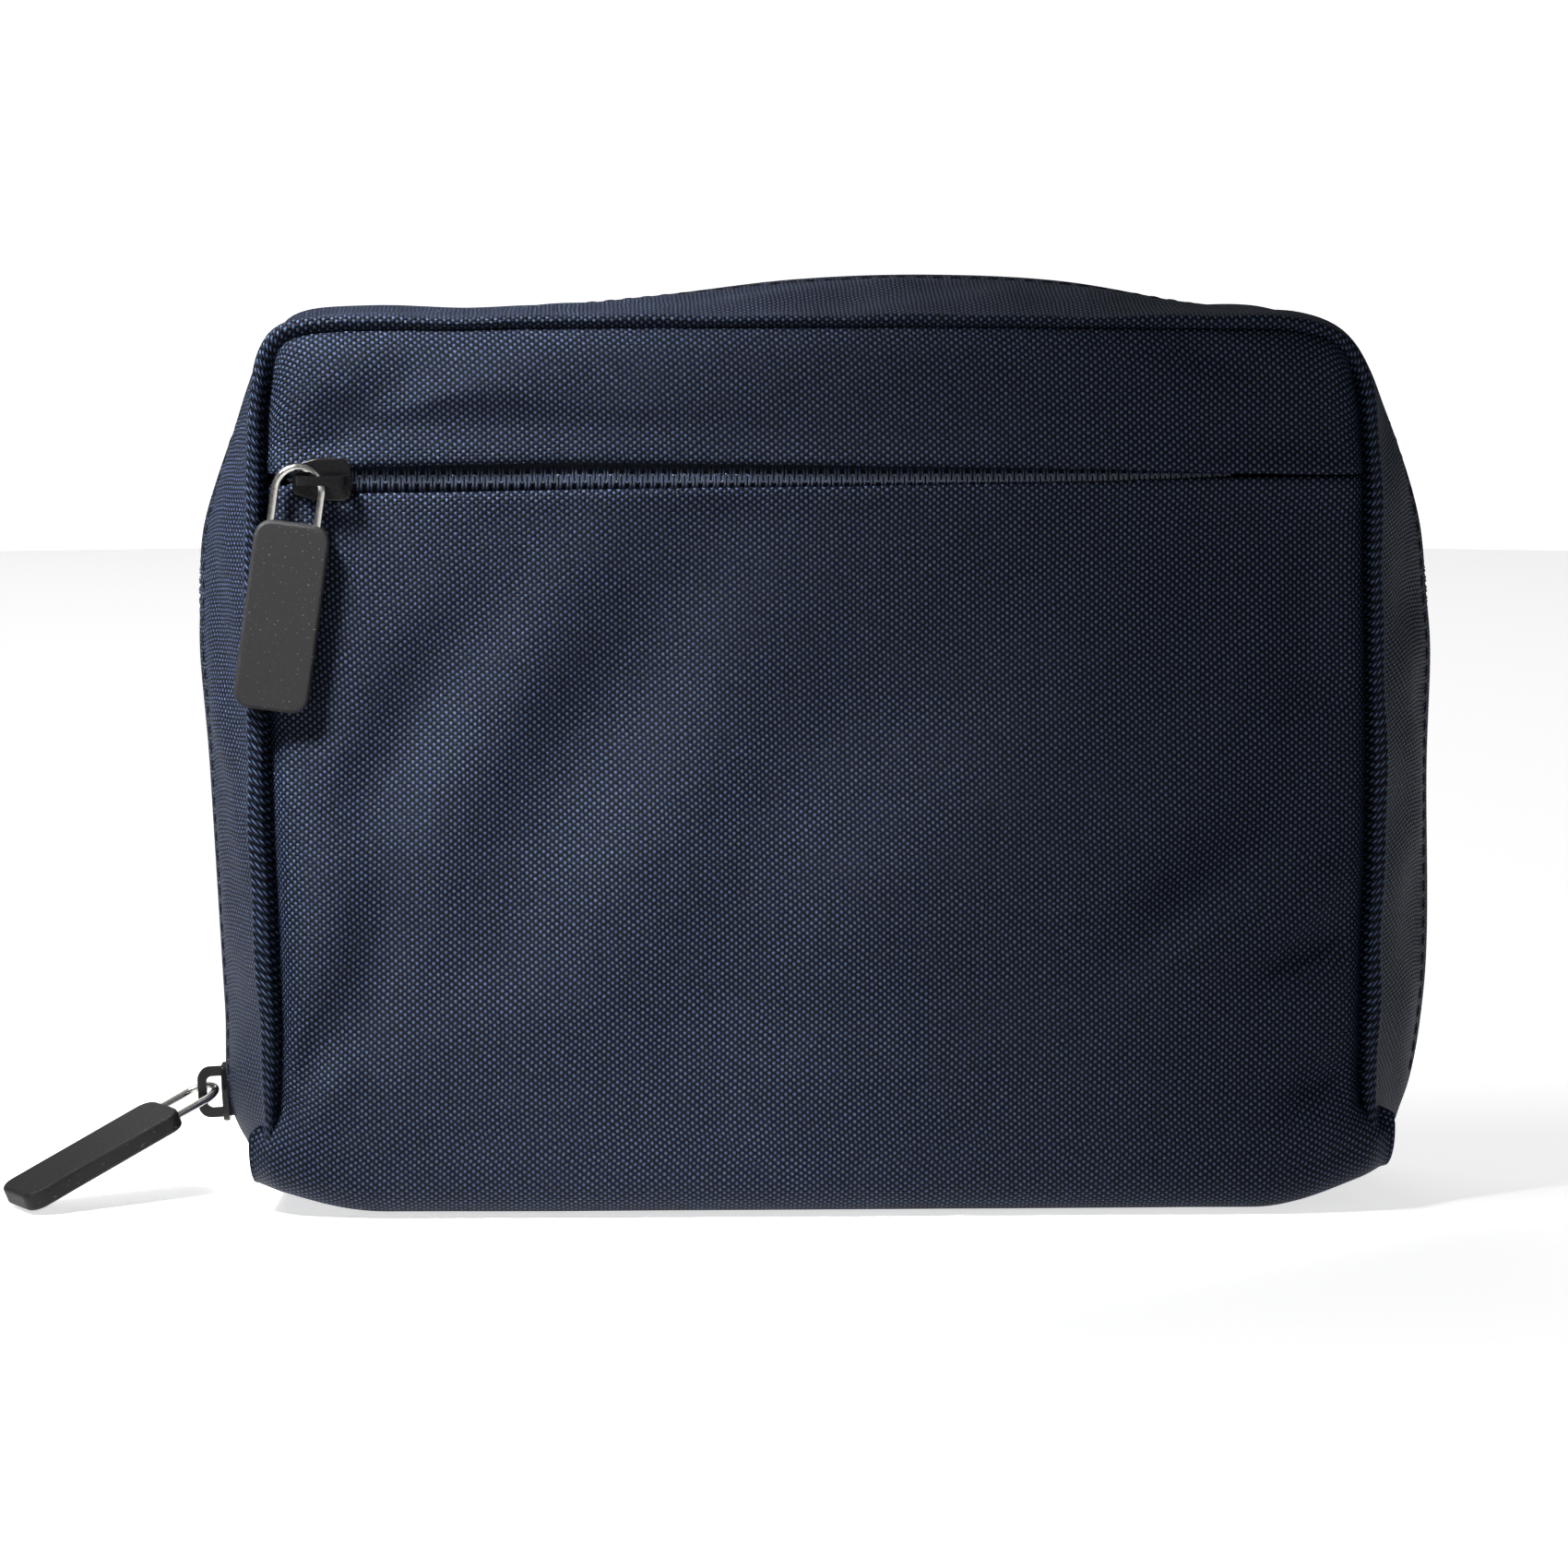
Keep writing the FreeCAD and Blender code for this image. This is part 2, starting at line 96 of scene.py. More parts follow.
def spline(points, count):
    """A smooth curve through the points (centripetal), evenly spaced along its length."""
    def weigh(t, a, b, p, q):
        return (b - t) / (b - a) * p + (t - a) / (b - a) * q

    pts = np.asarray(points, float)
    pts = np.vstack([pts[0] * 1.5 - pts[1] * 0.5, pts, pts[-1] * 1.5 - pts[-2] * 0.5])
    out = []
    for i in range(1, len(pts) - 2):
        p0, p1, p2, p3 = pts[i - 1:i + 3]
        k0, k1, k2, k3 = np.cumsum([0] + [np.linalg.norm(b - a) ** 0.5 + 1e-9
                                          for a, b in ((p0, p1), (p1, p2), (p2, p3))])
        t = np.linspace(k1, k2, 60, endpoint=False)[:, None]
        a1 = weigh(t, k0, k1, p0, p1)
        a2 = weigh(t, k1, k2, p1, p2)
        a3 = weigh(t, k2, k3, p2, p3)
        out.append(weigh(t, k1, k2, weigh(t, k0, k2, a1, a2), weigh(t, k1, k3, a2, a3)))
    return even(np.vstack(out + [pts[-2][None, :]]), count)


def smooth(edge0, edge1, x):
    """0 up to edge0, 1 from edge1 on, and a soft step between."""
    t = np.clip((x - edge0) / (edge1 - edge0), 0, 1)
    return t * t * (3 - 2 * t)


def hump(x, z, cx, cz, along, across, turn):
    """A soft oval hill at (cx, cz): 1 at its top. turn is its long axis, degrees from +X."""
    a = math.radians(turn)
    u = (x - cx) * math.cos(a) + (z - cz) * math.sin(a)
    v = -(x - cx) * math.sin(a) + (z - cz) * math.cos(a)
    return np.exp(-(u / along) ** 2 - (v / across) ** 2)


class Ripple:
    """Slow seeded noise over a surface, from a few sine waves."""

    def __init__(self, wavelength, waves=9):
        turn = rng.uniform(0, 2 * math.pi, waves)
        size = 2 * math.pi / (wavelength * rng.uniform(0.7, 1.5, waves))
        self.kx = np.cos(turn) * size
        self.kz = np.sin(turn) * size
        self.phase = rng.uniform(0, 2 * math.pi, waves)

    def __call__(self, x, z):
        total = 0
        for kx, kz, phase in zip(self.kx, self.kz, self.phase):
            total = total + np.sin(kx * x + kz * z + phase)
        return total / len(self.kx) ** 0.5


# ---- mesh building
def make_object(name, verts, faces, uvs=None):
    mesh = bpy.data.meshes.new(name)
    mesh.from_pydata((np.asarray(verts) * MM).tolist(), [], [list(map(int, f)) for f in faces])
    if uvs is not None:
        layer = mesh.uv_layers.new(name="cloth")
        index = np.zeros(len(mesh.loops), int)
        mesh.loops.foreach_get("vertex_index", index)
        layer.data.foreach_set("uv", np.asarray(uvs, float)[index].ravel())
    mesh.polygons.foreach_set("use_smooth", [True] * len(mesh.polygons))
    mesh.update()
    obj = bpy.data.objects.new(name, mesh)
    bpy.context.scene.collection.objects.link(obj)
    return obj


def grid_normals(p):
    du = np.gradient(p, axis=0)
    dv = np.gradient(p, axis=1)
    n = np.cross(du, dv)
    return n / np.maximum(np.linalg.norm(n, axis=2, keepdims=True), 1e-9)


def grid_faces(rows, cols, start=0, flip=False):
    i, j = np.meshgrid(np.arange(rows - 1), np.arange(cols - 1), indexing="ij")
    a = (start + i * cols + j).ravel()
    quads = np.stack([a, a + cols, a + cols + 1, a + 1], axis=1)
    return quads[:, ::-1] if flip else quads


def cloth(name, p, uv, thick=CLOTH, flip=False):
    """A sheet of cloth with two sides and rims. p is rows x cols x 3, and its outer side is
    along du x dv; flip says that the outer side is the other one."""
    rows, cols = p.shape[:2]
    n = grid_normals(p) * (-1 if flip else 1)
    inner = p - n * thick
    verts = np.vstack([p.reshape(-1, 3), inner.reshape(-1, 3)])
    total = rows * cols
    faces = [grid_faces(rows, cols, 0, flip), grid_faces(rows, cols, total, not flip)]
    ring = np.concatenate([np.arange(cols), np.arange(1, rows) * cols + cols - 1,
                           (rows - 1) * cols + np.arange(cols - 2, -1, -1),
                           np.arange(rows - 2, 0, -1) * cols])
    nxt = np.roll(ring, -1)
    rim = np.stack([ring, nxt, nxt + total, ring + total], axis=1)
    faces.append(rim[:, ::-1] if flip else rim)
    uvs = np.vstack([uv.reshape(-1, 2), uv.reshape(-1, 2)])
    return make_object(name, verts, np.vstack(faces), uvs)


def surface_uv(p):
    """Fabric coordinates in millimetres: length along the rows, and length along a column."""
    rows, cols = p.shape[:2]
    mid = p[:, cols // 2]
    v = length_along(mid)
    u = np.concatenate([np.zeros((rows, 1)),
                        np.cumsum(np.linalg.norm(np.diff(p, axis=1), axis=2), axis=1)], axis=1)
    u = u - u[:, cols // 2:cols // 2 + 1]
    return np.stack([u, np.repeat(v[:, None], cols, axis=1)], axis=2)


def standing(xz, y=0.0):
    """3D points from rows of x and z, at the depth y."""
    return np.column_stack([xz[:, 0], np.broadcast_to(y, len(xz)), xz[:, 1]])


def turned_uv(p):
    """surface_uv for a grid whose first index runs across the cloth's long direction."""
    return surface_uv(p.transpose(1, 0, 2)).transpose(1, 0, 2)


def tube(path, radius, sides=8, up=(0.13, 0.31, 0.94)):
    """Vertices and faces of a capped tube along a path."""
    path = np.asarray(path, float)
    tangent = np.gradient(path, axis=0)
    tangent /= np.maximum(np.linalg.norm(tangent, axis=1, keepdims=True), 1e-9)
    side = np.cross(tangent, np.array(up))
    side /= np.maximum(np.linalg.norm(side, axis=1, keepdims=True), 1e-9)
    top = np.cross(side, tangent)
    turn = np.linspace(0, 2 * math.pi, sides, endpoint=False)
    ring = (side[:, None, :] * np.cos(turn)[None, :, None]
            + top[:, None, :] * np.sin(turn)[None, :, None])
    verts = (path[:, None, :] + ring * radius).reshape(-1, 3)
    faces = []
    for i in range(len(path) - 1):
        for k in range(sides):
            a = i * sides + k
            b = i * sides + (k + 1) % sides
            faces.append((a, b, b + sides, a + sides))
    faces.append(tuple(range(sides - 1, -1, -1)))
    faces.append(tuple(range((len(path) - 1) * sides, len(path) * sides)))
    return verts, faces


def joined(name, parts):
    """One object from many (vertices, faces) pairs."""
    verts, faces, start = [], [], 0
    for v, f in parts:
        verts.append(v)
        faces.extend([tuple(i + start for i in face) for face in f])
        start += len(v)
    return make_object(name, np.vstack(verts), faces)


def place(obj, body, slot, material, *nodes):
    """Gives a piece its material and its body, and hides the CAD nodes it stands for. slot is not
    used.
    """
    obj.data.materials.append(material)
    if body is not None:
        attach(obj, body)
    if nodes:
        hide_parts(*nodes)
    return obj


def fold(piece):
    """Fabric that crosses the fold along the front bottom edge: its placement is baked into its
    mesh."""
    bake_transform(piece)


# ---- materials
class Nodes:
    """A short way to write a node tree's arithmetic."""

    def __init__(self, name):
        self.material = bpy.data.materials.new(name)
        self.material.use_nodes = True
        self.tree = self.material.node_tree
        self.shader = self.tree.nodes["Principled BSDF"]

    def add(self, kind, **values):
        node = self.tree.nodes.new(kind)
        for key, value in values.items():
            setattr(node, key, value)
        return node

    def feed(self, socket, value):
        if isinstance(value, bpy.types.NodeSocket):
            self.tree.links.new(value, socket)
        else:
            socket.default_value = value

    def math(self, op, a, b=0.0, c=0.0, clamp=False):
        node = self.add("ShaderNodeMath", operation=op, use_clamp=clamp)
        for socket, value in zip(node.inputs, (a, b, c)):
            self.feed(socket, value)
        return node.outputs[0]

    def mix(self, share, a, b):
        node = self.add("ShaderNodeMix", data_type="RGBA")
        self.feed(node.inputs[0], share)
        self.feed(node.inputs[6], a)
        self.feed(node.inputs[7], b)
        return node.outputs[2]

    def noise(self, vector, scale, detail=2.0, rough=0.5):
        node = self.add("ShaderNodeTexNoise")
        self.feed(node.inputs["Vector"], vector)
        node.inputs["Scale"].default_value = scale
        node.inputs["Detail"].default_value = detail
        node.inputs["Roughness"].default_value = rough
        return node.outputs["Fac"]

    def uv(self):
        return self.add("ShaderNodeUVMap", uv_map="cloth").outputs[0]

    def object_place(self):
        return self.add("ShaderNodeTexCoord").outputs["Object"]

    def split(self, vector):
        node = self.add("ShaderNodeSeparateXYZ")
        self.feed(node.inputs[0], vector)
        return node.outputs[0], node.outputs[1]

    def bump(self, height, distance):
        node = self.add("ShaderNodeBump")
        node.inputs["Strength"].default_value = 1.0
        node.inputs["Distance"].default_value = distance
        self.feed(node.inputs["Height"], height)
        return node.outputs[0]

    def set(self, **values):
        """Gives the shader's sockets a node's output, or the value itself where it is uniform."""
        for key, value in values.items():
            self.feed(self.shader.inputs[key.replace("_", " ")], value)


def woven(name, dark, light, pitch, depth, rough, weft=0.35, level=0.2):
    """A plain weave with painted light: thread crowns are painted bright as a highlight and the
    gaps between threads near black as shade. pitch is the width of the two threads in mm and depth
    their height; weft is how bright the threads across are beside the threads along, which scales
    their painted highlight."""
    n = Nodes(name)
    place_on = n.uv()
    u, v = n.split(place_on)
    wander_u = n.math("MULTIPLY", n.math("SUBTRACT", n.noise(place_on, 0.16, 3.0), 0.5), 0.9)
    wander_v = n.math("MULTIPLY", n.math("SUBTRACT", n.noise(place_on, 0.13, 3.0), 0.5), 0.9)
    thread_u = n.math("DIVIDE", n.math("ADD", u, wander_u), pitch[0])
    thread_v = n.math("DIVIDE", n.math("ADD", v, wander_v), pitch[1])
    wave_u = n.math("SINE", n.math("MULTIPLY", thread_u, math.pi))
    wave_v = n.math("SINE", n.math("MULTIPLY", thread_v, math.pi))
    over_u = n.math("MULTIPLY", wave_v, n.math("SIGN", wave_u))
    over_v = n.math("MULTIPLY", n.math("MULTIPLY", wave_u, n.math("SIGN", wave_v)), -1.0)
    crown_u = n.math("POWER", n.math("ABSOLUTE", wave_u), 0.7)
    crown_v = n.math("POWER", n.math("ABSOLUTE", wave_v), 0.7)
    warp = n.math("MULTIPLY", n.math("MULTIPLY_ADD", over_u, 0.5, 0.5), crown_u)
    cross = n.math("MULTIPLY", n.math("MULTIPLY_ADD", over_v, 0.5, 0.5), crown_v)
    cross = n.math("MULTIPLY", cross, 0.8)
    height = n.math("MAXIMUM", warp, cross)
    is_weft = n.math("GREATER_THAN", cross, warp)
    row = n.add("ShaderNodeCombineXYZ")
    n.feed(row.inputs[0], n.math("FLOOR", thread_u))
    n.feed(row.inputs[1], n.math("FLOOR", thread_v))
    pick = n.add("ShaderNodeTexWhiteNoise", noise_dimensions="2D")
    n.feed(pick.inputs["Vector"], row.outputs[0])
    cloud = n.noise(place_on, 0.03, 3.0)
    # Painted light: the colour follows the threads' height, so crowns get a painted highlight and
    # low parts painted shade; the random tone per thread and the cloud are the cloth's own.
    painted_light_and_tone = n.math("MULTIPLY", n.math("POWER", height, 2.3),
                   n.math("MULTIPLY_ADD", pick.outputs["Value"], 0.3, 0.8))
    painted_light_and_tone = n.math("MULTIPLY", painted_light_and_tone, n.math("MULTIPLY_ADD", is_weft, weft - 1.0, 1.0))
    painted_light_and_tone = n.math("MULTIPLY", painted_light_and_tone, n.math("MULTIPLY_ADD", cloud, 0.3, 0.85), clamp=True)
    lift = n.math("MULTIPLY_ADD", pick.outputs["Value"], 0.12, height)
    n.set(Base_Color=n.mix(painted_light_and_tone, (*dark, 1), (*light, 1)),
          Roughness=n.math("MULTIPLY_ADD", painted_light_and_tone, -0.12, rough),
          Normal=n.bump(lift, depth * MM), Specular_IOR_Level=level)
    return n.material


def tape_weave(name, dark, light):
    """Zip tape: fine herringbone ribs that change direction every few threads; the ribs' crowns are
    painted lighter as a highlight and their valleys darker as shade.
    """
    n = Nodes(name)
    u, v = n.split(n.uv())
    band = n.math("PINGPONG", v, 1.6)
    rib = n.math("SINE", n.math("MULTIPLY", n.math("ADD", u, band), 2 * math.pi / 0.7))
    cross = n.math("SINE", n.math("MULTIPLY", v, 2 * math.pi / 0.45))
    height = n.math("MULTIPLY_ADD", rib, 0.35, n.math("MULTIPLY_ADD", cross, 0.15, 0.5))
    # Painted light: the colour follows the ribs' height, lighter on crowns and darker in valleys.
    n.set(Base_Color=n.mix(height, (*dark, 1), (*light, 1)), Normal=n.bump(height, 0.12 * MM),
          Roughness=0.75)
    return n.material


def coil_plastic():
    """Dyed nylon monofilament: glossy, a little uneven."""
    n = Nodes("zip_coil")
    cloud = n.noise(n.object_place(), 900.0)
    n.set(Base_Color=n.mix(cloud, (0.010, 0.017, 0.036, 1), (0.030, 0.042, 0.075, 1)),
          Roughness=n.math("MULTIPLY_ADD", cloud, 0.12, 0.2),
          Normal=n.bump(n.noise(n.object_place(), 2600.0), 0.02 * MM), Specular_IOR_Level=0.7)
    return n.material


def enamel():
    """Gloss black paint on a die-cast slider, with faint orange peel and a faint uneven cloud in
    its tone.
    """
    n = Nodes("slider_black")
    peel = n.noise(n.object_place(), 1400.0)
    cloud = n.noise(n.object_place(), 240.0, 4.0)
    n.set(Base_Color=n.mix(cloud, (0.0015, 0.0015, 0.0017, 1), (0.004, 0.004, 0.0045, 1)),
          Roughness=n.math("MULTIPLY_ADD", cloud, 0.14, 0.16),
          Normal=n.bump(peel, 0.02 * MM), Specular_IOR_Level=0.3)
    return n.material


def steel_wire():
    """Nickel-plated wire with fine draw marks."""
    n = Nodes("pull_wire")
    mark = n.noise(n.object_place(), 1800.0, 4.0)
    n.set(Base_Color=n.mix(mark, (0.55, 0.53, 0.5, 1), (0.86, 0.84, 0.8, 1)),
          Roughness=n.math("MULTIPLY_ADD", mark, 0.18, 0.1),
          Normal=n.bump(mark, 0.01 * MM), Metallic=1.0)
    return n.material


def soft_rubber():
    """Matt charcoal moulded rubber: fine spark-eroded grain and a few pale dust specks."""
    n = Nodes("pull_rubber")
    where = n.object_place()
    grain = n.noise(where, 5200.0, 3.0)
    cloud = n.noise(where, 160.0, 4.0)
    speck = n.math("GREATER_THAN", n.noise(where, 2100.0, 1.0), 0.70)
    base = n.mix(cloud, (0.0048, 0.0046, 0.005, 1), (0.0076, 0.0074, 0.0078, 1))
    dust = n.math("MULTIPLY", n.noise(where, 3000.0, 1.0), 0.5)
    base = n.mix(dust, base, (0.018, 0.017, 0.018, 1))
    n.set(Base_Color=n.mix(n.math("MULTIPLY", speck, 0.2), base, (0.3, 0.3, 0.3, 1)),
          Roughness=n.math("MULTIPLY_ADD", grain, 0.16, 0.5),
          Normal=n.bump(grain, 0.035 * MM), Specular_IOR_Level=0.25)
    return n.material


def open_cell():
    """Pale grey polyurethane foam; its cell pits are painted darker as shade."""
    n = Nodes("foam")
    cells = n.add("ShaderNodeTexVoronoi")
    n.feed(cells.inputs["Vector"], n.object_place())
    cells.inputs["Scale"].default_value = 1500.0
    depth = cells.outputs["Distance"]
    # Painted shade: the colour follows the cells' depth, darker in the pits.
    n.set(Base_Color=n.mix(depth, (0.10, 0.10, 0.11, 1), (0.30, 0.30, 0.31, 1)),
          Normal=n.bump(depth, 0.3 * MM), Roughness=0.95)
    return n.material


# For these cloths the dark colour is painted shade in the low parts of the weave and the light
# colour a painted highlight on its raised threads.
NAVY = woven("navy_polyester", (0.0002, 0.0004, 0.0012), (0.062, 0.088, 0.160),
             pitch=(0.735, 0.6), depth=0.22, rough=0.52, weft=0.1, level=0.06)
LINING_CLOTH = woven("navy_lining", (0.003, 0.004, 0.009), (0.026, 0.031, 0.056),
                     pitch=(0.3, 0.3), depth=0.06, rough=0.6, weft=0.8)
TAPE = tape_weave("zip_tape", (0.003, 0.004, 0.009), (0.016, 0.021, 0.038))
COIL = coil_plastic()
BLACK = enamel()
WIRE = steel_wire()
RUBBER = soft_rubber()


# ---- the two outlines that the shell is built between
# Each station pairs a point of the face's seam with the point of the zip line beside it.
# The run goes from the lower left, over the top, to the lower right: (seam x, z, zip x, z).
STATIONS = [
    (-92.6, 6.6, -92.2, 6.0), (-95.4, 8.8, -98.4, 7.6), (-94.9, 16, -103.2, 15.5),
    (-94.2, 34, -104.2, 34), (-95.4, 76, -106.35, 76), (-95.8, 112, -108.2, 112),
    (-95.8, 128, -104.4, 127.5), (-95.4, 143, -98.0, 142.6), (-93.6, 150, -92.6, 149.0),
    (-89.6, 153.0, -84, 152.3), (-62, 154.0, -60, 154.9), (-30, 154.3, -28, 158.2),
    (-4, 154.4, -4, 161.0), (20, 154.4, 19, 161.8), (44, 154.2, 43, 160.6),
    (66, 154.0, 66, 156.6), (82, 153.4, 82, 154.4), (88.6, 151.0, 89.6, 151.6),
    (92.0, 145.0, 95.4, 145.0), (93.4, 134, 101.4, 133), (94.0, 112, 107.2, 111),
    (94.7, 75, 107.4, 75), (94.0, 36, 107.4, 36), (94.4, 18, 104.0, 16.5),
    (95.8, 10.2, 99.2, 8.2), (92.6, 8.6, 92.2, 7.8),
]
ALONG = 420               # points along the run
SIDES_TO = 150            # the seam's two sides are read up to this height
TOP_FROM = 147            # the seam's top run is what lies above this height

seam_and_zip = spline(STATIONS, ALONG)
SEAM = seam_and_zip[:, :2]
ZIPLINE = seam_and_zip[:, 2:]


def outward(line):
    """Unit normals of a run in the XZ plane, to its left: out of the pouch, on its outlines."""
    t = np.gradient(line, axis=0)
    t /= np.maximum(np.linalg.norm(t, axis=1, keepdims=True), 1e-9)
    return np.stack([-t[:, 1], t[:, 0]], axis=1)


SEAM_OUT = outward(SEAM)
ZIP_OUT = outward(ZIPLINE)


def seam_x(z, side):
    """The seam's x at height z, on the left (-1) or right (+1)."""
    part = SEAM[:ALONG // 2] if side < 0 else SEAM[ALONG // 2:][::-1]
    rising = part[:np.argmax(part[:, 1] > SIDES_TO) + 1]
    return np.interp(z, rising[:, 1], rising[:, 0])


def seam_distance(x, z):
    """How far a point of the face is from its seam: sides and top."""
    left = x - seam_x(np.minimum(z, SIDES_TO), -1)
    right = seam_x(np.minimum(z, SIDES_TO), 1) - x
    top = np.interp(x, SEAM[:, 0][100:320], SEAM[:, 1][100:320]) - z
    edge = np.minimum(np.minimum(left, right), top)
    return np.maximum(edge, 0)


def spaced(count):
    """Shares from 0 to 1, closer together at both ends."""
    s = np.linspace(0, 1, count)
    return s - 0.11 * np.sin(2 * math.pi * s)


def top_edge(count):
    """x and z of the seam's top run at count places, closer together at its ends."""
    run = even(SEAM[SEAM[:, 1] > TOP_FROM], 400)
    x = run[0, 0] + (run[-1, 0] - run[0, 0]) * spaced(count)
    return x, np.interp(x, run[:, 0], run[:, 1])


def at_top(z):
    """1 along the top, where the seam lies almost flush, and 0 down the sides."""
    return smooth(143, 151, z)


face_ripple = Ripple(46)
fine_ripple = Ripple(13)


def bulge(x, z):
    """How far the face stands forward of the seam plane. It stays low where the pull sweeps."""
    d = seam_distance(x, z)
    rise = 1 - np.exp(-d / 5.0)
    above = smooth(ZIP_Z + 2, ZIP_Z + 12, z)
    low = 2.9 * smooth(94, 56, z) * np.exp(-((x - 4) / 100) ** 4)
    total = rise * (0.9 + low + 1.1 * above)
    total += rise * (0.18 + 0.16 * smooth(96, 70, z)) * face_ripple(x, z)
    total += rise * 0.035 * fine_ripple(x, z)
    total += rise * creases(x, z)
    room = 1.05 + 2.6 * (smooth(86, 72, z) + smooth(137, 147, z))
    total = room - np.log1p(np.exp(4 * (room - total))) / 4
    lips = np.exp(-((z - ZIP_Z) / 4.0) ** 2) * (1 - np.exp(-d / 2.0))
    return total * (1 - lips) + 1.2 * lips


# The folds of the front face, each a soft ridge or hollow: middle x and z, half length, half
# width, turn in degrees, height.
CREASES = (
    (-57, 88, 34, 10, 52, 0.9), (-38, 86, 40, 13, 62, -1.6), (-72, 84, 30, 8, 56, -1.0),
    (-86, 62, 34, 7, 86, 0.8), (-78, 44, 26, 6, 78, -0.7), (-10, 70, 46, 16, 66, -0.9),
    (28, 96, 40, 16, 40, -0.9), (70, 108, 34, 12, 60, -0.8), (84, 104, 22, 5, 84, -0.7),
    (77, 52, 17, 5, 34, 1.5), (66, 57, 22, 7, 40, -1.5), (86, 47, 12, 4, 26, -1.1),
    (79, 14, 11, 6, 42, 1.1), (87, 22, 10, 3.5, 34, -1.5), (89, 15, 7, 4, 30, 1.1),
    (-84, 146, 15, 6, -52, 0.9), (-80, 138, 16, 5, 42, -0.8), (-60, 140, 20, 8, 40, 0.7),
    (64, 152, 9, 4, -24, -1.1), (40, 26, 34, 12, 14, 0.6), (4, 34, 40, 12, -6, -0.5),
    (-89, 27, 10, 3, 66, -0.9), (-85, 22, 9, 3, 50, 0.5), (-64, 26, 26, 9, 28, 0.6),
    (88, 92, 9, 3, 20, -0.8), (24, 142, 34, 7, 4, -0.5))


def creases(x, z):
    """The height of the front face's folds, and of the fine pleats at its lower left. Ridges
    stay lower than hollows where the pocket's pull sweeps past them."""
    total = 0
    for cx, cz, along, across, turn, height in CREASES:
        scale = 2.4 if height < 0 or cz < 80 or cz > 130 else 1.0
        total = total + scale * height * hump(x, z, cx, cz, along, across, turn)
    pleat = np.sin(2 * math.pi * np.hypot(x + 112, z - 52) / 2.6)
    return total + 0.09 * pleat * hump(x, z, -88, 34, 11, 6, 80)


def zip_sag(x):
    """How far the two sides of the pocket's slit lie from the zip's middle line."""
    share = (x - ZIP_LEFT) / (ZIP_RIGHT - ZIP_LEFT)
    at = [-0.1, 0.0, 0.06, 0.16, 0.3, 0.6, 0.85, 1.0, 1.1]
    upper = np.interp(share, at, [0.2, 1.0, 2.1, 2.4, 2.8, 2.1, 1.5, 0.7, 0.45])
    lower = np.interp(share, at, [-0.2, -1.3, -2.4, -2.2, -1.8, -1.3, -0.7, 0.2, 0.4])
    return upper, lower


def face_depth(x, z):
    """The y of the face's outer surface, with its sink into the seam."""
    d = seam_distance(x, z)
    sink = GROOVE * np.exp(-(d / 1.25) ** 1.3) * smooth(9, 17, z) * (1 - 0.7 * at_top(z))
    wrap = 0.5 * np.clip(2.6 - d, 0, 2.6) ** 2 * smooth(17, 9, z)
    return FRONT_Y - 0.35 - bulge(x, z) + sink + wrap


# ---- front face
def row_across(z, cols):
    """x values across the face at the heights z, closer together at the seams."""
    left = seam_x(z, -1)[:, None]
    right = seam_x(z, 1)[:, None]
    return left + (right - left) * spaced(cols)[None, :]


def corner_lift(x):
    """How far the underside curls up off the floor towards its corners."""
    left = 5.8 * np.clip((-x - 76) / 21, 0, 1.05) ** 2.2
    right = 7.9 * np.clip((x - 76) / 21, 0, 1.05) ** 2.0
    return left + right


def allowance(p, inward):
    """Adds the seam allowance down both sides: narrow edges that turn into the pouch. inward is
    1 where the grid's normals point into it and -1 where they point out."""
    n = grid_normals(p) * inward
    left, right = p[:, :1], p[:, -1:]
    deep = [n[:, :1] * 1.5, n[:, :1] * 3.2, n[:, -1:] * 1.5, n[:, -1:] * 3.2]
    return np.concatenate([left + deep[1] + [1.6, 0, 0], left + deep[0] + [0.5, 0, 0], p,
                           right + deep[2] - [0.5, 0, 0], right + deep[3] - [1.6, 0, 0]], axis=1)


def turned_under(last, low, deep, narrow, rows):
    """Rows that round the bottom edge, from a face's last row to the height low. deep is how
    far they reach in y, and narrow the share by which they draw in."""
    arc = []
    for a in np.linspace(0, math.pi / 2, rows + 1)[1:]:
        arc.append(np.column_stack([last[:, 0] * (1 - narrow * (1 - np.cos(a))),
                                    last[:, 1] + deep * (1 - np.cos(a)),
                                    last[:, 2] - (last[:, 2] - low) * np.sin(a)]))
    return arc


def front_lower():
    """The big panel: from the pocket zip down, round the bottom edge and under to the back."""
    cols, face_rows, turn_rows, under_rows = 260, 210, 26, 44
    turn = 8.0
    top = ZIP_Z + 6
    z = np.linspace(top, turn, face_rows)
    x = row_across(np.clip(z, 10, ZIP_Z), cols)
    edge = ZIP_Z + zip_sag(x[0])[1]
    share = (top - z) / (top - turn)
    zz = edge[None, :] + (turn - edge[None, :]) * share[:, None]
    lift = corner_lift(x)
    zz = zz + lift * (1 - smooth(turn, 30, zz)) * 0.9
    ear = 1.5 * smooth(17, 9, z)[:, None]
    near_left = np.exp(-(x + 96) / 3.0)
    near_right = np.exp((x - 96) / 3.0)
    y = face_depth(x, zz) - ear * (near_left + near_right) * 1.1
    x = x - 3.3 * ear * near_left + 3.5 * ear * near_right
    tuck = 0.8 * np.exp(-(edge[None, :] - zz) / 0.6)
    face = np.stack([x, y + tuck, zz], axis=2)
    low = lift[-1] * 0.9 + 0.3
    arc = turned_under(face[-1], low, turn * 0.95, 0.012, turn_rows)
    start_y = arc[-1][:, 1]
    under = []
    for t in np.linspace(0, 1, under_rows + 1)[1:]:
        uy = start_y + (BACK_Y - 4.0 - start_y) * t
        uz = low * (1 + 0.1 * np.sin(math.pi * t)) + 0.25 * np.sin(math.pi * t)
        under.append(np.stack([arc[-1][:, 0], uy, uz], axis=1))
    p = allowance(np.concatenate([face, np.array(arc), np.array(under)]), -1)
    return cloth("front_lower_cloth", p, surface_uv(p), flip=False)


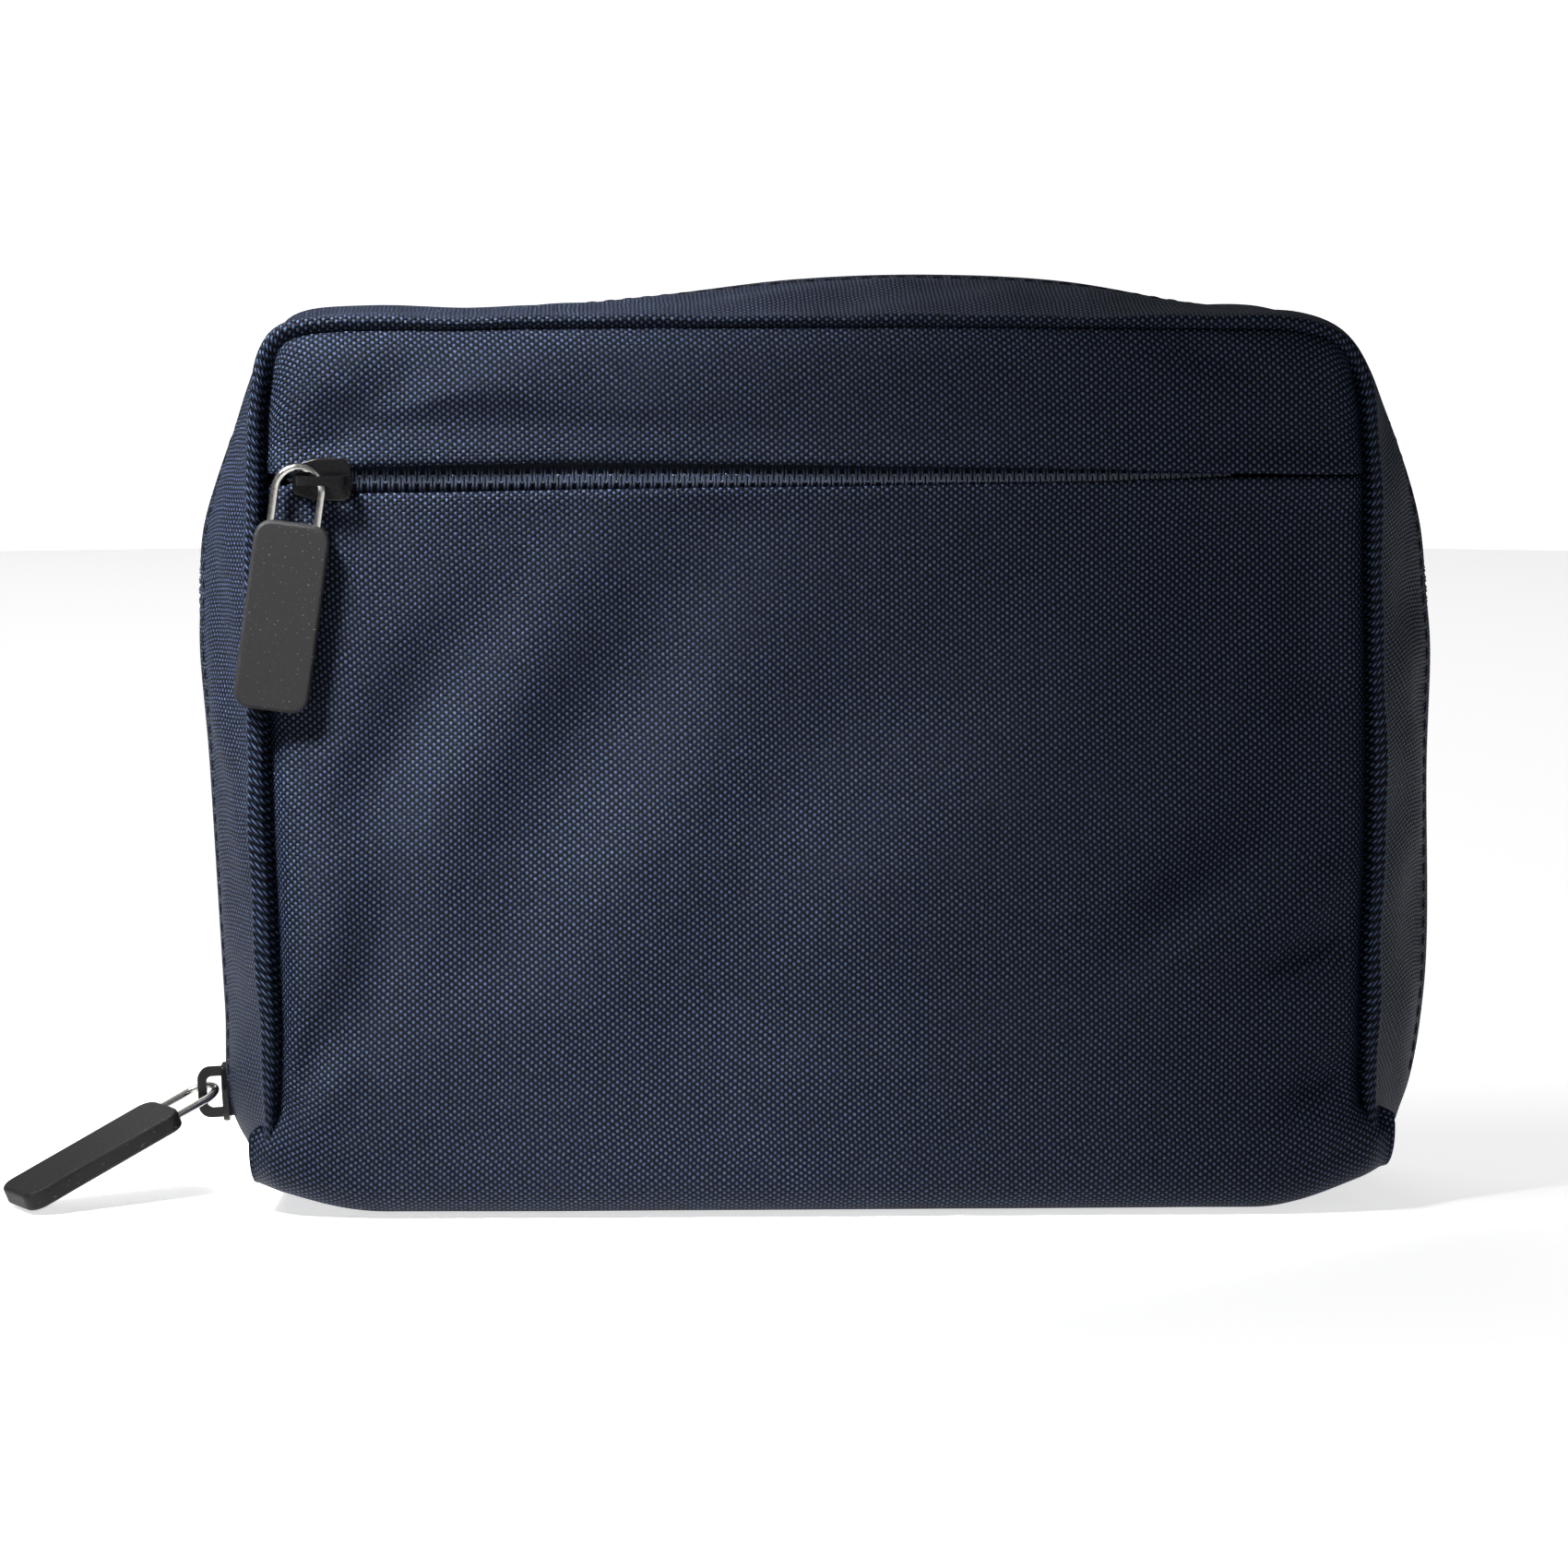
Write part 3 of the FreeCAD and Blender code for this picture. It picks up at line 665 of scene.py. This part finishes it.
def front_upper():
    """The panel over the pocket zip, up to the top seam."""
    cols, rows = 240, 70
    edge = ZIP_Z + zip_sag(row_across(np.array([ZIP_Z]), cols)[0])[0]
    x_top, z_top = top_edge(cols)
    p = np.zeros((rows, cols, 3))
    for i, t in enumerate(np.linspace(0, 1, rows)):
        z = edge + (z_top - edge) * t
        left = seam_x(np.minimum(z[0], z_top[0]), -1)
        right = seam_x(np.minimum(z[-1], z_top[-1]), 1)
        x = left + (right - left) * spaced(cols)
        x = x * (1 - t ** 8) + x_top * t ** 8
        y = face_depth(x, z)
        roll = 0.9 * np.exp(-(z - edge) / 0.6) - 0.75 * np.exp(-((z - edge) / 4.0) ** 2)
        p[i] = np.stack([x, y + roll, z], axis=1)
    return cloth("front_upper_cloth", p, surface_uv(p), flip=True)


# ---- gussets
gusset_ripple = Ripple(22)


def ridge_width():
    """How far outside the seam the folded edge stands, along the run."""
    at = np.array([0, 0.03, 0.08, 0.2, 0.3, 0.36, 0.62, 0.7, 0.85, 0.93, 0.975, 1])
    wide = [0.7, 1.8, 3.9, 3.5, 2.6, 1.9, 1.9, 2.2, 3.0, 3.1, 1.8, 0.7]
    s = np.linspace(0, 1, ALONG)
    wave = 0.16 * np.sin(s * 61) + 0.12 * np.sin(s * 143 + 1)
    return np.interp(s, at, wide) + wave * smooth(0, 0.05, s) * smooth(1, 0.95, s)


def gusset(side):
    """One half of the side band: out of the seam, over its folded edge, back to the zip.
    side is -1 at the front and +1 at the back."""
    face_y = FRONT_Y if side < 0 else BACK_Y
    wide = ridge_width()
    run = np.linspace(0, 1, ALONG)
    end = smooth(0, 0.02, run) * smooth(1, 0.98, run)
    stages = np.array([(-0.3, 0, -3.6), (-0.1, 0.04, -2.9), (0.0, 0.13, -1.9), (0.05, 0.27, -0.8),
                       (0.0, 0.46, 0.1), (0.0, 0.78, 0.3), (0.05, 1.0, 0.05), (0.32, 1.0, -0.45),
                       (0.5, 1.0, -1.1)])
    fine = spline(stages, 26)
    shallow = 1 - 0.7 * at_top(SEAM[:, 1])
    columns = []
    for shift, share, forward in fine:
        out = shift + share * wide
        front = forward * (shallow if share < 0.4 else 1.0) - 2.2 * (1 - end)
        columns.append(standing(SEAM + SEAM_OUT * out[:, None], face_y + side * front))
    start = columns[-1]
    bare = np.exp(-((ZIPLINE[:, 1] - 108) / 8) ** 2)
    cover = ZIPLINE + ZIP_OUT * ((0.95 if side < 0 else 0.35) - 0.75 * bare)[:, None]
    arrive = standing(cover, side * ZIP_EDGE_Y)
    along = length_along(SEAM)
    for t in np.linspace(0, 1, 45)[1:]:
        p = start * (1 - t) + arrive * t
        belly = math.sin(math.pi * t) * (0.75 if side < 0 else 0.3) * (
            1 + 0.5 * gusset_ripple(along, 20 * t))
        out = SEAM_OUT * (1 - t) + ZIP_OUT * t
        push = belly * end * smooth(0.0, 0.3, 1 - t)
        columns.append(p + standing(out * push[:, None]))
    columns.append(columns[-1] - standing(ZIP_OUT) * 0.6)
    p = np.stack(columns, axis=1)
    tuck = np.arange(1, 6)[:, None, None] * 1.9
    p = np.concatenate([p[:1] + tuck[::-1] * [1.0, 0.0, -0.33], p,
                        p[-1:] + tuck * [-1.0, 0.0, -0.38]])
    name = "front_gusset_cloth" if side < 0 else "back_gusset_cloth"
    return cloth(name, p, turned_uv(p), flip=side > 0), p


# ---- back panel
back_ripple = Ripple(50)


def back_face():
    """The plain back, rounded into its seam all the way round, and curled under at the foot."""
    cols, rows, turn_rows = 130, 130, 14
    turn = 7.0
    x_top, z_top = top_edge(cols)
    z_top = z_top + 0.6
    share = np.linspace(1, 0, rows)[:, None]
    zz = turn + (z_top[None, :] - turn) * share
    x = row_across(np.minimum(zz.mean(axis=1), SIDES_TO), cols) * 1.008
    x = x * (1 - share ** 44) + x_top * share ** 44
    lift = corner_lift(x)
    zz = zz + lift * (1 - smooth(turn, 30, zz)) * 0.9
    d = np.minimum(seam_distance(x, zz), 60)
    swell = (1 - np.exp(-d / 9.0)) * (1.2 + 2.6 * hump(x, zz, 0, 76, 90, 70, 0)
                                      + 0.4 * back_ripple(x, zz))
    groove = GROOVE * np.exp(-(d / 1.5) ** 1.4) * (1 - 0.7 * at_top(zz))
    y = BACK_Y + 0.4 + swell - groove
    face = np.stack([x, y, zz], axis=2)
    arc = turned_under(face[-1], lift[-1] * 0.9 + 0.45, -turn, 0.01, turn_rows)
    arc.append(arc[-1] - np.array([0.0, 2.0, 0.0]))
    p = allowance(np.concatenate([face, np.array(arc)]), 1)
    return cloth("back_cloth", p, surface_uv(p), flip=True)


# ---- zips
TOOTH_PITCH = 1.8
TOOTH_REACH = 2.1         # a tooth's length across the zip
TOOTH_HALF = 0.31         # half the gap between its two legs
FILAMENT = 0.27           # radius of the teeth's wire


def hairpin(reach, width):
    """One turn of coil seen flat: two legs and a round head. x runs along the zip."""
    points = [(-width, reach), (-width, 0.25)]
    for a in np.radians(np.linspace(180, 0, 7)[1:-1]):
        points.append((width * 1.25 * math.cos(a), -0.1 - 0.55 * math.sin(a)))
    points += [(width, 0.25), (width, reach)]
    return np.array(points)


def coil_row(name, line, out, side, across, height):
    """A row of coil teeth along a line of 3D points. across is the direction from the middle
    of the zip to this row, out the direction out of the tape."""
    stations = length_along(line)
    count = int(stations[-1] / TOOTH_PITCH) - 1
    flat = hairpin(TOOTH_REACH, TOOTH_HALF)
    arch = height * (1 - 0.25 * (flat[:, 1] / TOOTH_REACH) ** 2)
    parts = []
    for k in range(count):
        at = (k + (0.25 if side > 0 else 0.75)) * TOOTH_PITCH
        centre = sample(line, stations, at)
        ahead = sample(line, stations, at + 0.5)
        go = (ahead - centre) / np.linalg.norm(ahead - centre)
        normal = sample(out, stations, at)
        normal /= np.linalg.norm(normal)
        path = (centre + go * flat[:, :1] + across * side * flat[:, 1:]
                + normal * arch[:, None])
        parts.append(tube(path, FILAMENT, 6, up=normal))
    return joined(name, parts)


def strip(name, line, out, across, near, far, sink, slope=0.0):
    """A flat tape beside the coil, from near to far across, sunk below the coil's middle. slope
    is how much further it sinks for each millimetre across."""
    steps = np.linspace(near, far, 9)
    p = np.stack([line + across * s - out * (sink + slope * abs(s - near)) for s in steps], axis=1)
    return cloth(name, p, turned_uv(p), thick=0.45, flip=np.sign(far) < 0)


def main_zip():
    """Both coils and tapes of the main zip. The front pair starts above its slider."""
    line, out = standing(ZIPLINE), standing(ZIP_OUT)
    keep = (np.arange(ALONG) > 12) & (np.arange(ALONG) < ALONG - 12)
    above = keep & ~((line[:, 0] < 0) & (line[:, 2] < 25))
    across = np.array([0.0, 1.0, 0.0])
    for side, body, word, rows in ((-1, None, "front", above), (1, "back_shell", "back", keep)):
        teeth = coil_row(f"{word}_coil", line[rows], out[rows], side, across, 0.35)
        place(teeth, body, "zip_coil", COIL, f"{word}_zip_coil")
        tape = strip(f"{word}_tape", line[rows], out[rows], across, side * 0.9, side * 6.0,
                     sink=0.75, slope=0.55)
        place(tape, body, "zip_tape", TAPE, f"{word}_zip_tape")
        if side < 0:
            fold(teeth)
            fold(tape)


def pocket_zip():
    """Both coils and tapes of the pocket's zip, behind its slit."""
    xs = np.linspace(ZIP_LEFT, ZIP_RIGHT, 180)
    line = np.column_stack(np.broadcast_arrays(xs, ZIP_FRONT + 0.65, ZIP_Z))
    out = np.tile([0.0, -1.0, 0.0], (len(xs), 1))
    across = np.array([0.0, 0.0, 1.0])
    for side, word in ((-1, "lower"), (1, "upper")):
        teeth = coil_row(f"pocket_{word}_teeth", line, out, side, across, 0.25)
        place(teeth, "front_shell", "zip_coil", COIL, f"pocket_coil_{word}")
        tape = strip(f"pocket_{word}_tape", line, out, across, side * 0.4, side * 9.0, 0.6)
        place(tape, "front_shell", "zip_tape", TAPE, f"pocket_tape_{word}")


# ---- stitches
def stitches(name, line, normal, length=2.7, gap=0.5, radius=0.2):
    """A row of lockstitches: short threads that dip into the cloth at both ends."""
    stations = length_along(line)
    count = int(stations[-1] / (length + gap))
    parts = []
    for k in range(count):
        at = k * (length + gap) + np.linspace(0, length, 5)
        rise = np.array([-0.25, 0.06, 0.12, 0.06, -0.25])[:, None]
        path = sample(line, stations, at) + sample(normal, stations, at) * rise
        parts.append(tube(path, radius, 6))
    return joined(name, parts)


# Painted light: in these weaves too the dark colour is painted shade between threads and the light
# one a painted highlight on their crowns.
THREAD = woven("stitch_thread", (0.004, 0.005, 0.011), (0.03, 0.038, 0.07),
               pitch=(0.18, 0.18), depth=0.02, rough=0.5)
ELASTIC = woven("elastic_band", (0.002, 0.002, 0.004), (0.016, 0.018, 0.028),
                pitch=(0.4, 0.4), depth=0.08, rough=0.7, weft=0.9)
MESH_CORD = woven("mesh_cord", (0.002, 0.003, 0.006), (0.02, 0.024, 0.042),
                  pitch=(0.15, 0.15), depth=0.02, rough=0.55, weft=0.9)
FOAM = open_cell()


def gusset_stitches(p, side, body, word):
    """Top-stitching beside the main zip. It starts and ends clear of the gusset's end flaps."""
    column, ends = -6, slice(19, -19)
    normal = grid_normals(p)[:, column] * (1 if side < 0 else -1)
    row = stitches(f"{word}_zip_stitches", p[ends, column], normal[ends])
    place(row, body, "navy_polyester", THREAD)
    if body is None:
        fold(row)


# ---- carried-over metal and rubber
BODY_OF = {node: body for body, nodes in (
    ("back_shell", ("bottom_lining", "back_foam", "back_lining", "document_sleeve_seams",
                    "document_sleeve", "passport_sleeve_seams", "passport_sleeve", "card_slot_1",
                    "card_slot_2", "card_slot_3", "pen_loop")),
    ("front_shell", ("front_seam_binding", "pocket_bag_wall", "front_foam", "front_lining",
                     "mesh_pocket_seams", "mesh_pocket", "mesh_pocket_elastic")),
) for node in nodes}


def finish_node(node, material):
    """Gives a CAD node that stays visible its material."""
    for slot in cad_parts[node].material_slots:
        slot.material = material


# ---- inside the pouch
def rounded_grid(low, high, rows, cols, corner):
    """x and z of a grid over a rectangle whose corners are rounded off."""
    z = np.linspace(high[2], low[2], rows)
    s = np.linspace(-1, 1, cols)
    reach = np.minimum(z - low[2], high[2] - z)
    pull = corner - np.sqrt(np.clip(corner ** 2 - np.clip(corner - reach, 0, corner) ** 2, 0, None))
    half = (high[0] - low[0]) / 2 - pull
    mid = (high[0] + low[0]) / 2
    return mid + half[:, None] * s[None, :], np.repeat(z[:, None], cols, axis=1)


def rim_distance(x, z, low, high):
    """How far points of a panel are from its nearest edge."""
    edge = np.minimum.reduce([x - low[0], high[0] - x, z - low[2], high[2] - z])
    return np.clip(edge, 0, None)


def flat_panel(node, facing, corner, wave=0.35, thick=0.5):
    """A lining panel lying where the node is. facing is -1 where its good side looks forward."""
    low, high = node_box(node)
    rows = max(int((high[2] - low[2]) / 2.2), 6)
    cols = max(int((high[0] - low[0]) / 2.2), 6)
    x, z = rounded_grid(low, high, rows, cols, corner)
    ripple = Ripple(30)
    room = wave * (1 - np.exp(-rim_distance(x, z, low, high) / 8))
    surface = low[1] if facing < 0 else high[1]
    y = surface + facing * room * (0.5 + 0.5 * ripple(x, z))
    p = np.stack([x, y, z], axis=2)
    obj = cloth(node + "_cloth", p, surface_uv(p), thick, flip=facing > 0)
    place(obj, BODY_OF[node], "navy_lining", LINING_CLOTH, node)


def hem(node, drop=0.0):
    """A folded edge along the top of a pocket, with a row of stitches under it."""
    low, high = node_box(node)
    surface, z = low[1], high[2] - drop
    xs = np.linspace(low[0] + 2.5, high[0] - 2.5, max(int((high[0] - low[0]) / 3), 8))
    profile = ((0.5, 0.0), (0.75, 0.25), (0.5, 0.5), (-2.0, 0.42), (-4.6, 0.38), (-4.9, 0.0))
    p = np.stack([np.column_stack([xs, np.full(len(xs), surface - dy), np.full(len(xs), z + dz)])
                  for dz, dy in profile])
    obj = cloth(node + "_hem", p, surface_uv(p), 0.25)
    place(obj, BODY_OF[node], "navy_lining", TAPE)
    line = np.column_stack([xs, np.full(len(xs), surface - 0.5), np.full(len(xs), z - 3.8)])
    row = stitches(node + "_stitches", line, np.tile([0.0, -1.0, 0.0], (len(xs), 1)),
                   2.4, 0.6, 0.13)
    place(row, BODY_OF[node], "navy_lining", THREAD)


def border(node, facing, wide, tall, keep_top=True, stands_for=True):
    """A bias tape round the edge of a pocket or panel. It replaces the node if stands_for."""
    low, high = node_box(node)
    y = (low[1] if facing < 0 else high[1]) + facing * 0.15
    x0, z0 = low[0] + wide / 2, low[2] + wide / 2
    x1, z1 = high[0] - wide / 2, high[2] - wide / 2
    loop = [(x0, z1), (x0, z0 + 3), (x0 + 3, z0), (x1 - 3, z0), (x1, z0 + 3), (x1, z1)]
    if keep_top:
        loop = ([(x1 - 3, z1), (x0 + 3, z1), (x0, z1 - 3)] + loop[1:-1]
                + [(x1, z1 - 3), (x1 - 3, z1)])
    pts = even(np.array(loop, float), 260)
    side = outward(pts)
    cols = []
    for s, lift in ((-0.5, 0.0), (-0.46, 0.8), (-0.3, 1.0), (0.3, 1.0), (0.46, 0.8), (0.5, 0.0)):
        cols.append(standing(pts + side * s * wide, y + facing * lift * tall))
    p = np.stack(cols, axis=1)
    obj = cloth(node + "_binding", p, turned_uv(p), 0.3, flip=facing > 0)
    place(obj, BODY_OF[node], "navy_lining", TAPE, *([node] if stands_for else []))


def mesh_net(node):
    """An open net of thin cords, woven crosswise, over the pocket's panel."""
    low, high = node_box(node)
    step = 2.4
    cols, rows = int((high[0] - low[0]) / step), int((high[2] - low[2]) / step)
    y = (low[1] + high[1]) / 2
    ripple = Ripple(34)
    verts, edges = [], []
    index = {}
    for i in range(rows + 1):
        for j in range(cols + 1):
            if (i + j) % 2 == 0:
                x = low[0] + (high[0] - low[0]) * j / cols
                z = low[2] + (high[2] - low[2]) * i / rows
                index[i, j] = len(verts)
                verts.append((x, y + 0.2 * float(ripple(x, z)), z))
    for (i, j), a in index.items():
        for di, dj in ((1, 1), (1, -1)):
            if (i + di, j + dj) in index:
                edges.append((a, index[i + di, j + dj]))
    points = np.array(verts)
    net = joined("mesh_pocket_net", [tube(points[[a, b]], 0.22, 4) for a, b in edges])
    place(net, BODY_OF[node], "mesh", MESH_CORD, node)


def ribbed_band(node, facing):
    """Elastic: a gathered band with lengthways ribs."""
    low, high = node_box(node)
    xs = np.linspace(low[0], high[0], 300)
    zs = np.linspace(high[2] + 0.3, low[2] - 0.3, 26)
    x, z = np.meshgrid(xs, zs)
    ribs = 0.16 * np.cos(2 * math.pi * (z - low[2]) / 1.15)
    gather = 0.2 * np.sin(2 * math.pi * x / 3.1) + 0.12 * np.sin(2 * math.pi * x / 7.3)
    y = (low[1] + high[1]) / 2 + facing * (0.35 + ribs + gather)
    p = np.stack([x, y, z], axis=2)
    obj = cloth(node + "_band", p, surface_uv(p), 0.6, flip=facing > 0)
    place(obj, BODY_OF[node], "elastic", ELASTIC, node)


def pen_loop_band(node):
    """An elastic loop for a pen: a band bent round, with its ends sewn flat to the wall."""
    low, high = node_box(node)
    cx, far, near = (low[0] + high[0]) / 2, high[1], low[1]
    radius = (far - near) / 2
    cy = near + radius
    path = [(low[0] + 0.5, far - 0.5), (cx - radius * 0.95, far - 0.7)]
    for a in np.radians(np.linspace(215, -35, 26)):
        path.append((cx + radius * 0.93 * math.cos(a), cy - radius * 0.93 * math.sin(a)))
    path += [(cx + radius * 0.95, far - 0.7), (high[0] - 0.5, far - 0.5)]
    pts = spline(path, 90)
    zs = np.linspace(high[2], low[2], 20)
    cols = [np.column_stack([pts[:, 0], pts[:, 1], np.full(len(pts), z)]) for z in zs]
    p = np.stack(cols)
    p[:, :, 1] += (0.08 * np.cos(2 * math.pi * (zs - zs[0]) / 1.3))[:, None]
    obj = cloth(node + "_band", p, surface_uv(p), 0.7)
    place(obj, BODY_OF[node], "elastic", ELASTIC, node)


def lining_shell(node, facing):
    """A lining panel with some fullness over the foam behind it, and its bound edge."""
    flat_panel(node, facing, corner=6.0, wave=0.5)
    border(node, facing, 3.4, 0.35, stands_for=False)


def small_stops():
    """Crimped ends of the pocket's zip, under the cloth."""
    parts = []
    for x in (ZIP_LEFT - 1.0, ZIP_RIGHT + 1.2):
        for dz in (-1.1, 0.0, 1.1):
            path = [(x + dx, ZIP_FRONT + deep, ZIP_Z + dz)
                    for dx, deep in ((-0.9, 1.1), (0.0, 0.75), (0.9, 1.1))]
            parts.append(tube(path, 0.5, 8))
    place(joined("pocket_zip_ends", parts), "front_shell", "zip_stop", COIL, "pocket_zip_stops")


def end_tabs():
    """Folded cloth tabs that close the main zip's two lower ends."""
    for side, rows in enumerate((slice(2, 18), slice(ALONG - 18, ALONG - 2))):
        line, out = ZIPLINE[rows], ZIP_OUT[rows]
        cols = []
        for y, lift in ((-2.3, -0.3), (-1.8, 0.2), (-0.9, 0.4), (0.0, 0.45), (0.9, 0.4),
                        (1.8, 0.2), (2.3, -0.3)):
            cols.append(standing(line + out * lift, y))
        p = np.stack(cols, axis=1)
        obj = cloth(f"zip_end_tab_{side + 1}", p, turned_uv(p), 0.5)
        place(obj, "back_shell", "navy_polyester", NAVY, *(["zip_end_tabs"] if side == 0 else []))


def foam_pad(node, facing):
    """A thin foam board: soft rounded edges and an open-cell surface."""
    low, high = node_box(node)
    x, z = rounded_grid(low, high, 40, 46, 6.0)
    rounding = 0.5 * np.exp(-rim_distance(x, z, low, high) / 0.8)
    y = (low[1] if facing < 0 else high[1]) - facing * rounding
    p = np.stack([x, y, z], axis=2)
    obj = cloth(node + "_board", p, surface_uv(p), float(high[1] - low[1]) - 0.1, flip=facing > 0)
    place(obj, BODY_OF[node], "foam", FOAM, node)


def floor_lining(node):
    """The lining of the pouch's floor. It rises with the underside towards the corners."""
    low, high = node_box(node)
    xs = np.linspace(low[0], high[0], 80)
    ys = np.linspace(low[1], high[1], 26)
    x, y = np.meshgrid(xs, ys)
    lift = corner_lift(x) * 0.9
    p = np.stack([x, y, high[2] + 0.6 + lift + 0.15 * Ripple(26)(x, y)], axis=2)
    obj = cloth(node + "_cloth", p, surface_uv(p), 0.5)
    place(obj, BODY_OF[node], "navy_lining", LINING_CLOTH, node)


def inside():
    """Everything behind the shell: foam, lining, pockets, elastic and the zips' ends."""
    for node, facing in (("front_foam", 1), ("back_foam", -1)):
        foam_pad(node, facing)
    lining_shell("front_lining", 1)
    lining_shell("back_lining", -1)
    flat_panel("pocket_bag_wall", -1, 5.0)
    floor_lining("bottom_lining")
    border("front_seam_binding", 1, 5.0, 0.6)
    border("document_sleeve_seams", -1, 3.0, 0.3, keep_top=False)
    border("passport_sleeve_seams", -1, 3.0, 0.3, keep_top=False)
    border("mesh_pocket_seams", 1, 3.0, 0.3, keep_top=False)
    for node in ("document_sleeve", "passport_sleeve"):
        flat_panel(node, -1, 4.0, 0.4)
        hem(node)
    for node in ("card_slot_1", "card_slot_2", "card_slot_3"):
        flat_panel(node, -1, 2.0, 0.15, 0.4)
        hem(node, drop=0.6)
    mesh_net("mesh_pocket")
    ribbed_band("mesh_pocket_elastic", 1)
    pen_loop_band("pen_loop")
    small_stops()
    end_tabs()


# ---- build
fold(place(front_lower(), None, "navy_polyester", NAVY, "front_lower_panel", "bottom_panel"))
place(front_upper(), "front_shell", "navy_polyester", NAVY, "front_upper_panel")
front_side, front_grid = gusset(-1)
fold(place(front_side, None, "navy_polyester", NAVY, "front_gusset"))
back_side, back_grid = gusset(1)
place(back_side, "back_shell", "navy_polyester", NAVY, "back_gusset")
place(back_face(), "back_shell", "navy_polyester", NAVY, "back_panel")
gusset_stitches(front_grid, -1, None, "front")
gusset_stitches(back_grid, 1, "back_shell", "back")
main_zip()
pocket_zip()
for word in ("main", "pocket"):
    finish_node(f"{word}_slider_body", BLACK)
    finish_node(f"{word}_slider_bail", BLACK)
    finish_node(f"{word}_pull_wire", WIRE)
    finish_node(f"{word}_pull_tab", RUBBER)
inside()


# ---- floor, light and camera
def floor():
    """A pale floor round the object, and a plain white backdrop that carries on from it."""
    def bowl(name, rings, base):
        sides = 96
        turn = np.linspace(0, 2 * math.pi, sides + 1)[:-1]
        verts = [(r * math.cos(a) / MM, r * math.sin(a) / MM, h / MM - 0.3)
                 for r, h in rings for a in turn]
        faces = [tuple(range(sides))] if base else []
        for i in range(len(rings) - 1):
            for k in range(sides):
                a, b = i * sides + k, i * sides + (k + 1) % sides
                faces.append((a, a + sides, b + sides, b))
        return make_object(name, verts, faces)

    ground = bowl("floor", [(0.3, 0.0), (1.0, 0.0), (1.6, 0.0)], True)
    n = Nodes("floor")
    n.set(Base_Color=(0.88, 0.88, 0.88, 1), Roughness=0.95, Specular_IOR_Level=0.1,
          Emission_Color=(1, 1, 1, 1), Emission_Strength=0.69)
    ground.data.materials.append(n.material)
    curve = [(1.6 + 1.2 * math.sin(a), 1.2 - 1.2 * math.cos(a)) for a in np.linspace(0, 1.57, 14)]
    back = bowl("backdrop", curve + [(2.8, 2.6)], False)
    n = Nodes("backdrop")
    n.set(Base_Color=(0.9, 0.9, 0.9, 1), Emission_Color=(1, 1, 1, 1), Emission_Strength=1.0)
    back.data.materials.append(n.material)
    back.visible_diffuse = back.visible_glossy = back.visible_shadow = False


def area_light(name, place_at, aim, size, power, spread=180):
    """A rectangular light that points at aim. Power is in watts, spread in degrees."""
    data = bpy.data.lights.new(name, "AREA")
    data.spread = math.radians(spread)
    data.shape = "RECTANGLE"
    data.size, data.size_y = size
    data.energy = power
    lamp = bpy.data.objects.new(name, data)
    bpy.context.scene.collection.objects.link(lamp)
    lamp.location = place_at
    lamp.rotation_euler = (Vector(aim) - Vector(place_at)).to_track_quat("-Z", "Y").to_euler()


def studio():
    bpy.context.scene.view_settings.view_transform = "Standard"
    world = bpy.data.worlds.new("studio")
    bpy.context.scene.world = world
    world.use_nodes = True
    world.node_tree.nodes["Background"].inputs[0].default_value = (1, 1, 1, 1)
    world.node_tree.nodes["Background"].inputs[1].default_value = 0.08
    area_light("key", (-0.33, -0.26, 0.55), (-0.10, -0.03, 0.142), (0.14, 0.14), 0.37, spread=17)
    area_light("side", (-0.7, -0.3, 1.0), (0, 0, 0.03), (0.4, 0.4), 4.5)
    area_light("fill", (0.45, -0.55, 0.45), (0, 0, 0.08), (0.4, 0.4), 0.35)
    area_light("back", (-0.4, 1.1, 1.3), (0, 0.1, 0), (1.2, 1.0), 5.0)


def camera():
    """A long lens in front of the pouch, a little above it and to its left."""
    data = bpy.data.cameras.new("camera")
    cam = bpy.data.objects.new("camera", data)
    bpy.context.scene.collection.objects.link(cam)
    azimuth, elevation, distance = math.radians(-2.0), math.radians(6.5), 1.0
    aim = Vector((-0.0068, FRONT_Y * MM, 0.0756))
    level = math.cos(elevation)
    away = Vector((math.sin(azimuth) * level, -math.cos(azimuth) * level, math.sin(elevation)))
    cam.location = aim + away * distance
    cam.rotation_euler = (-away).to_track_quat("-Z", "Y").to_euler()
    data.lens = 132.8
    data.sensor_width = 36.0
    bpy.context.scene.camera = cam


floor()
studio()
camera()
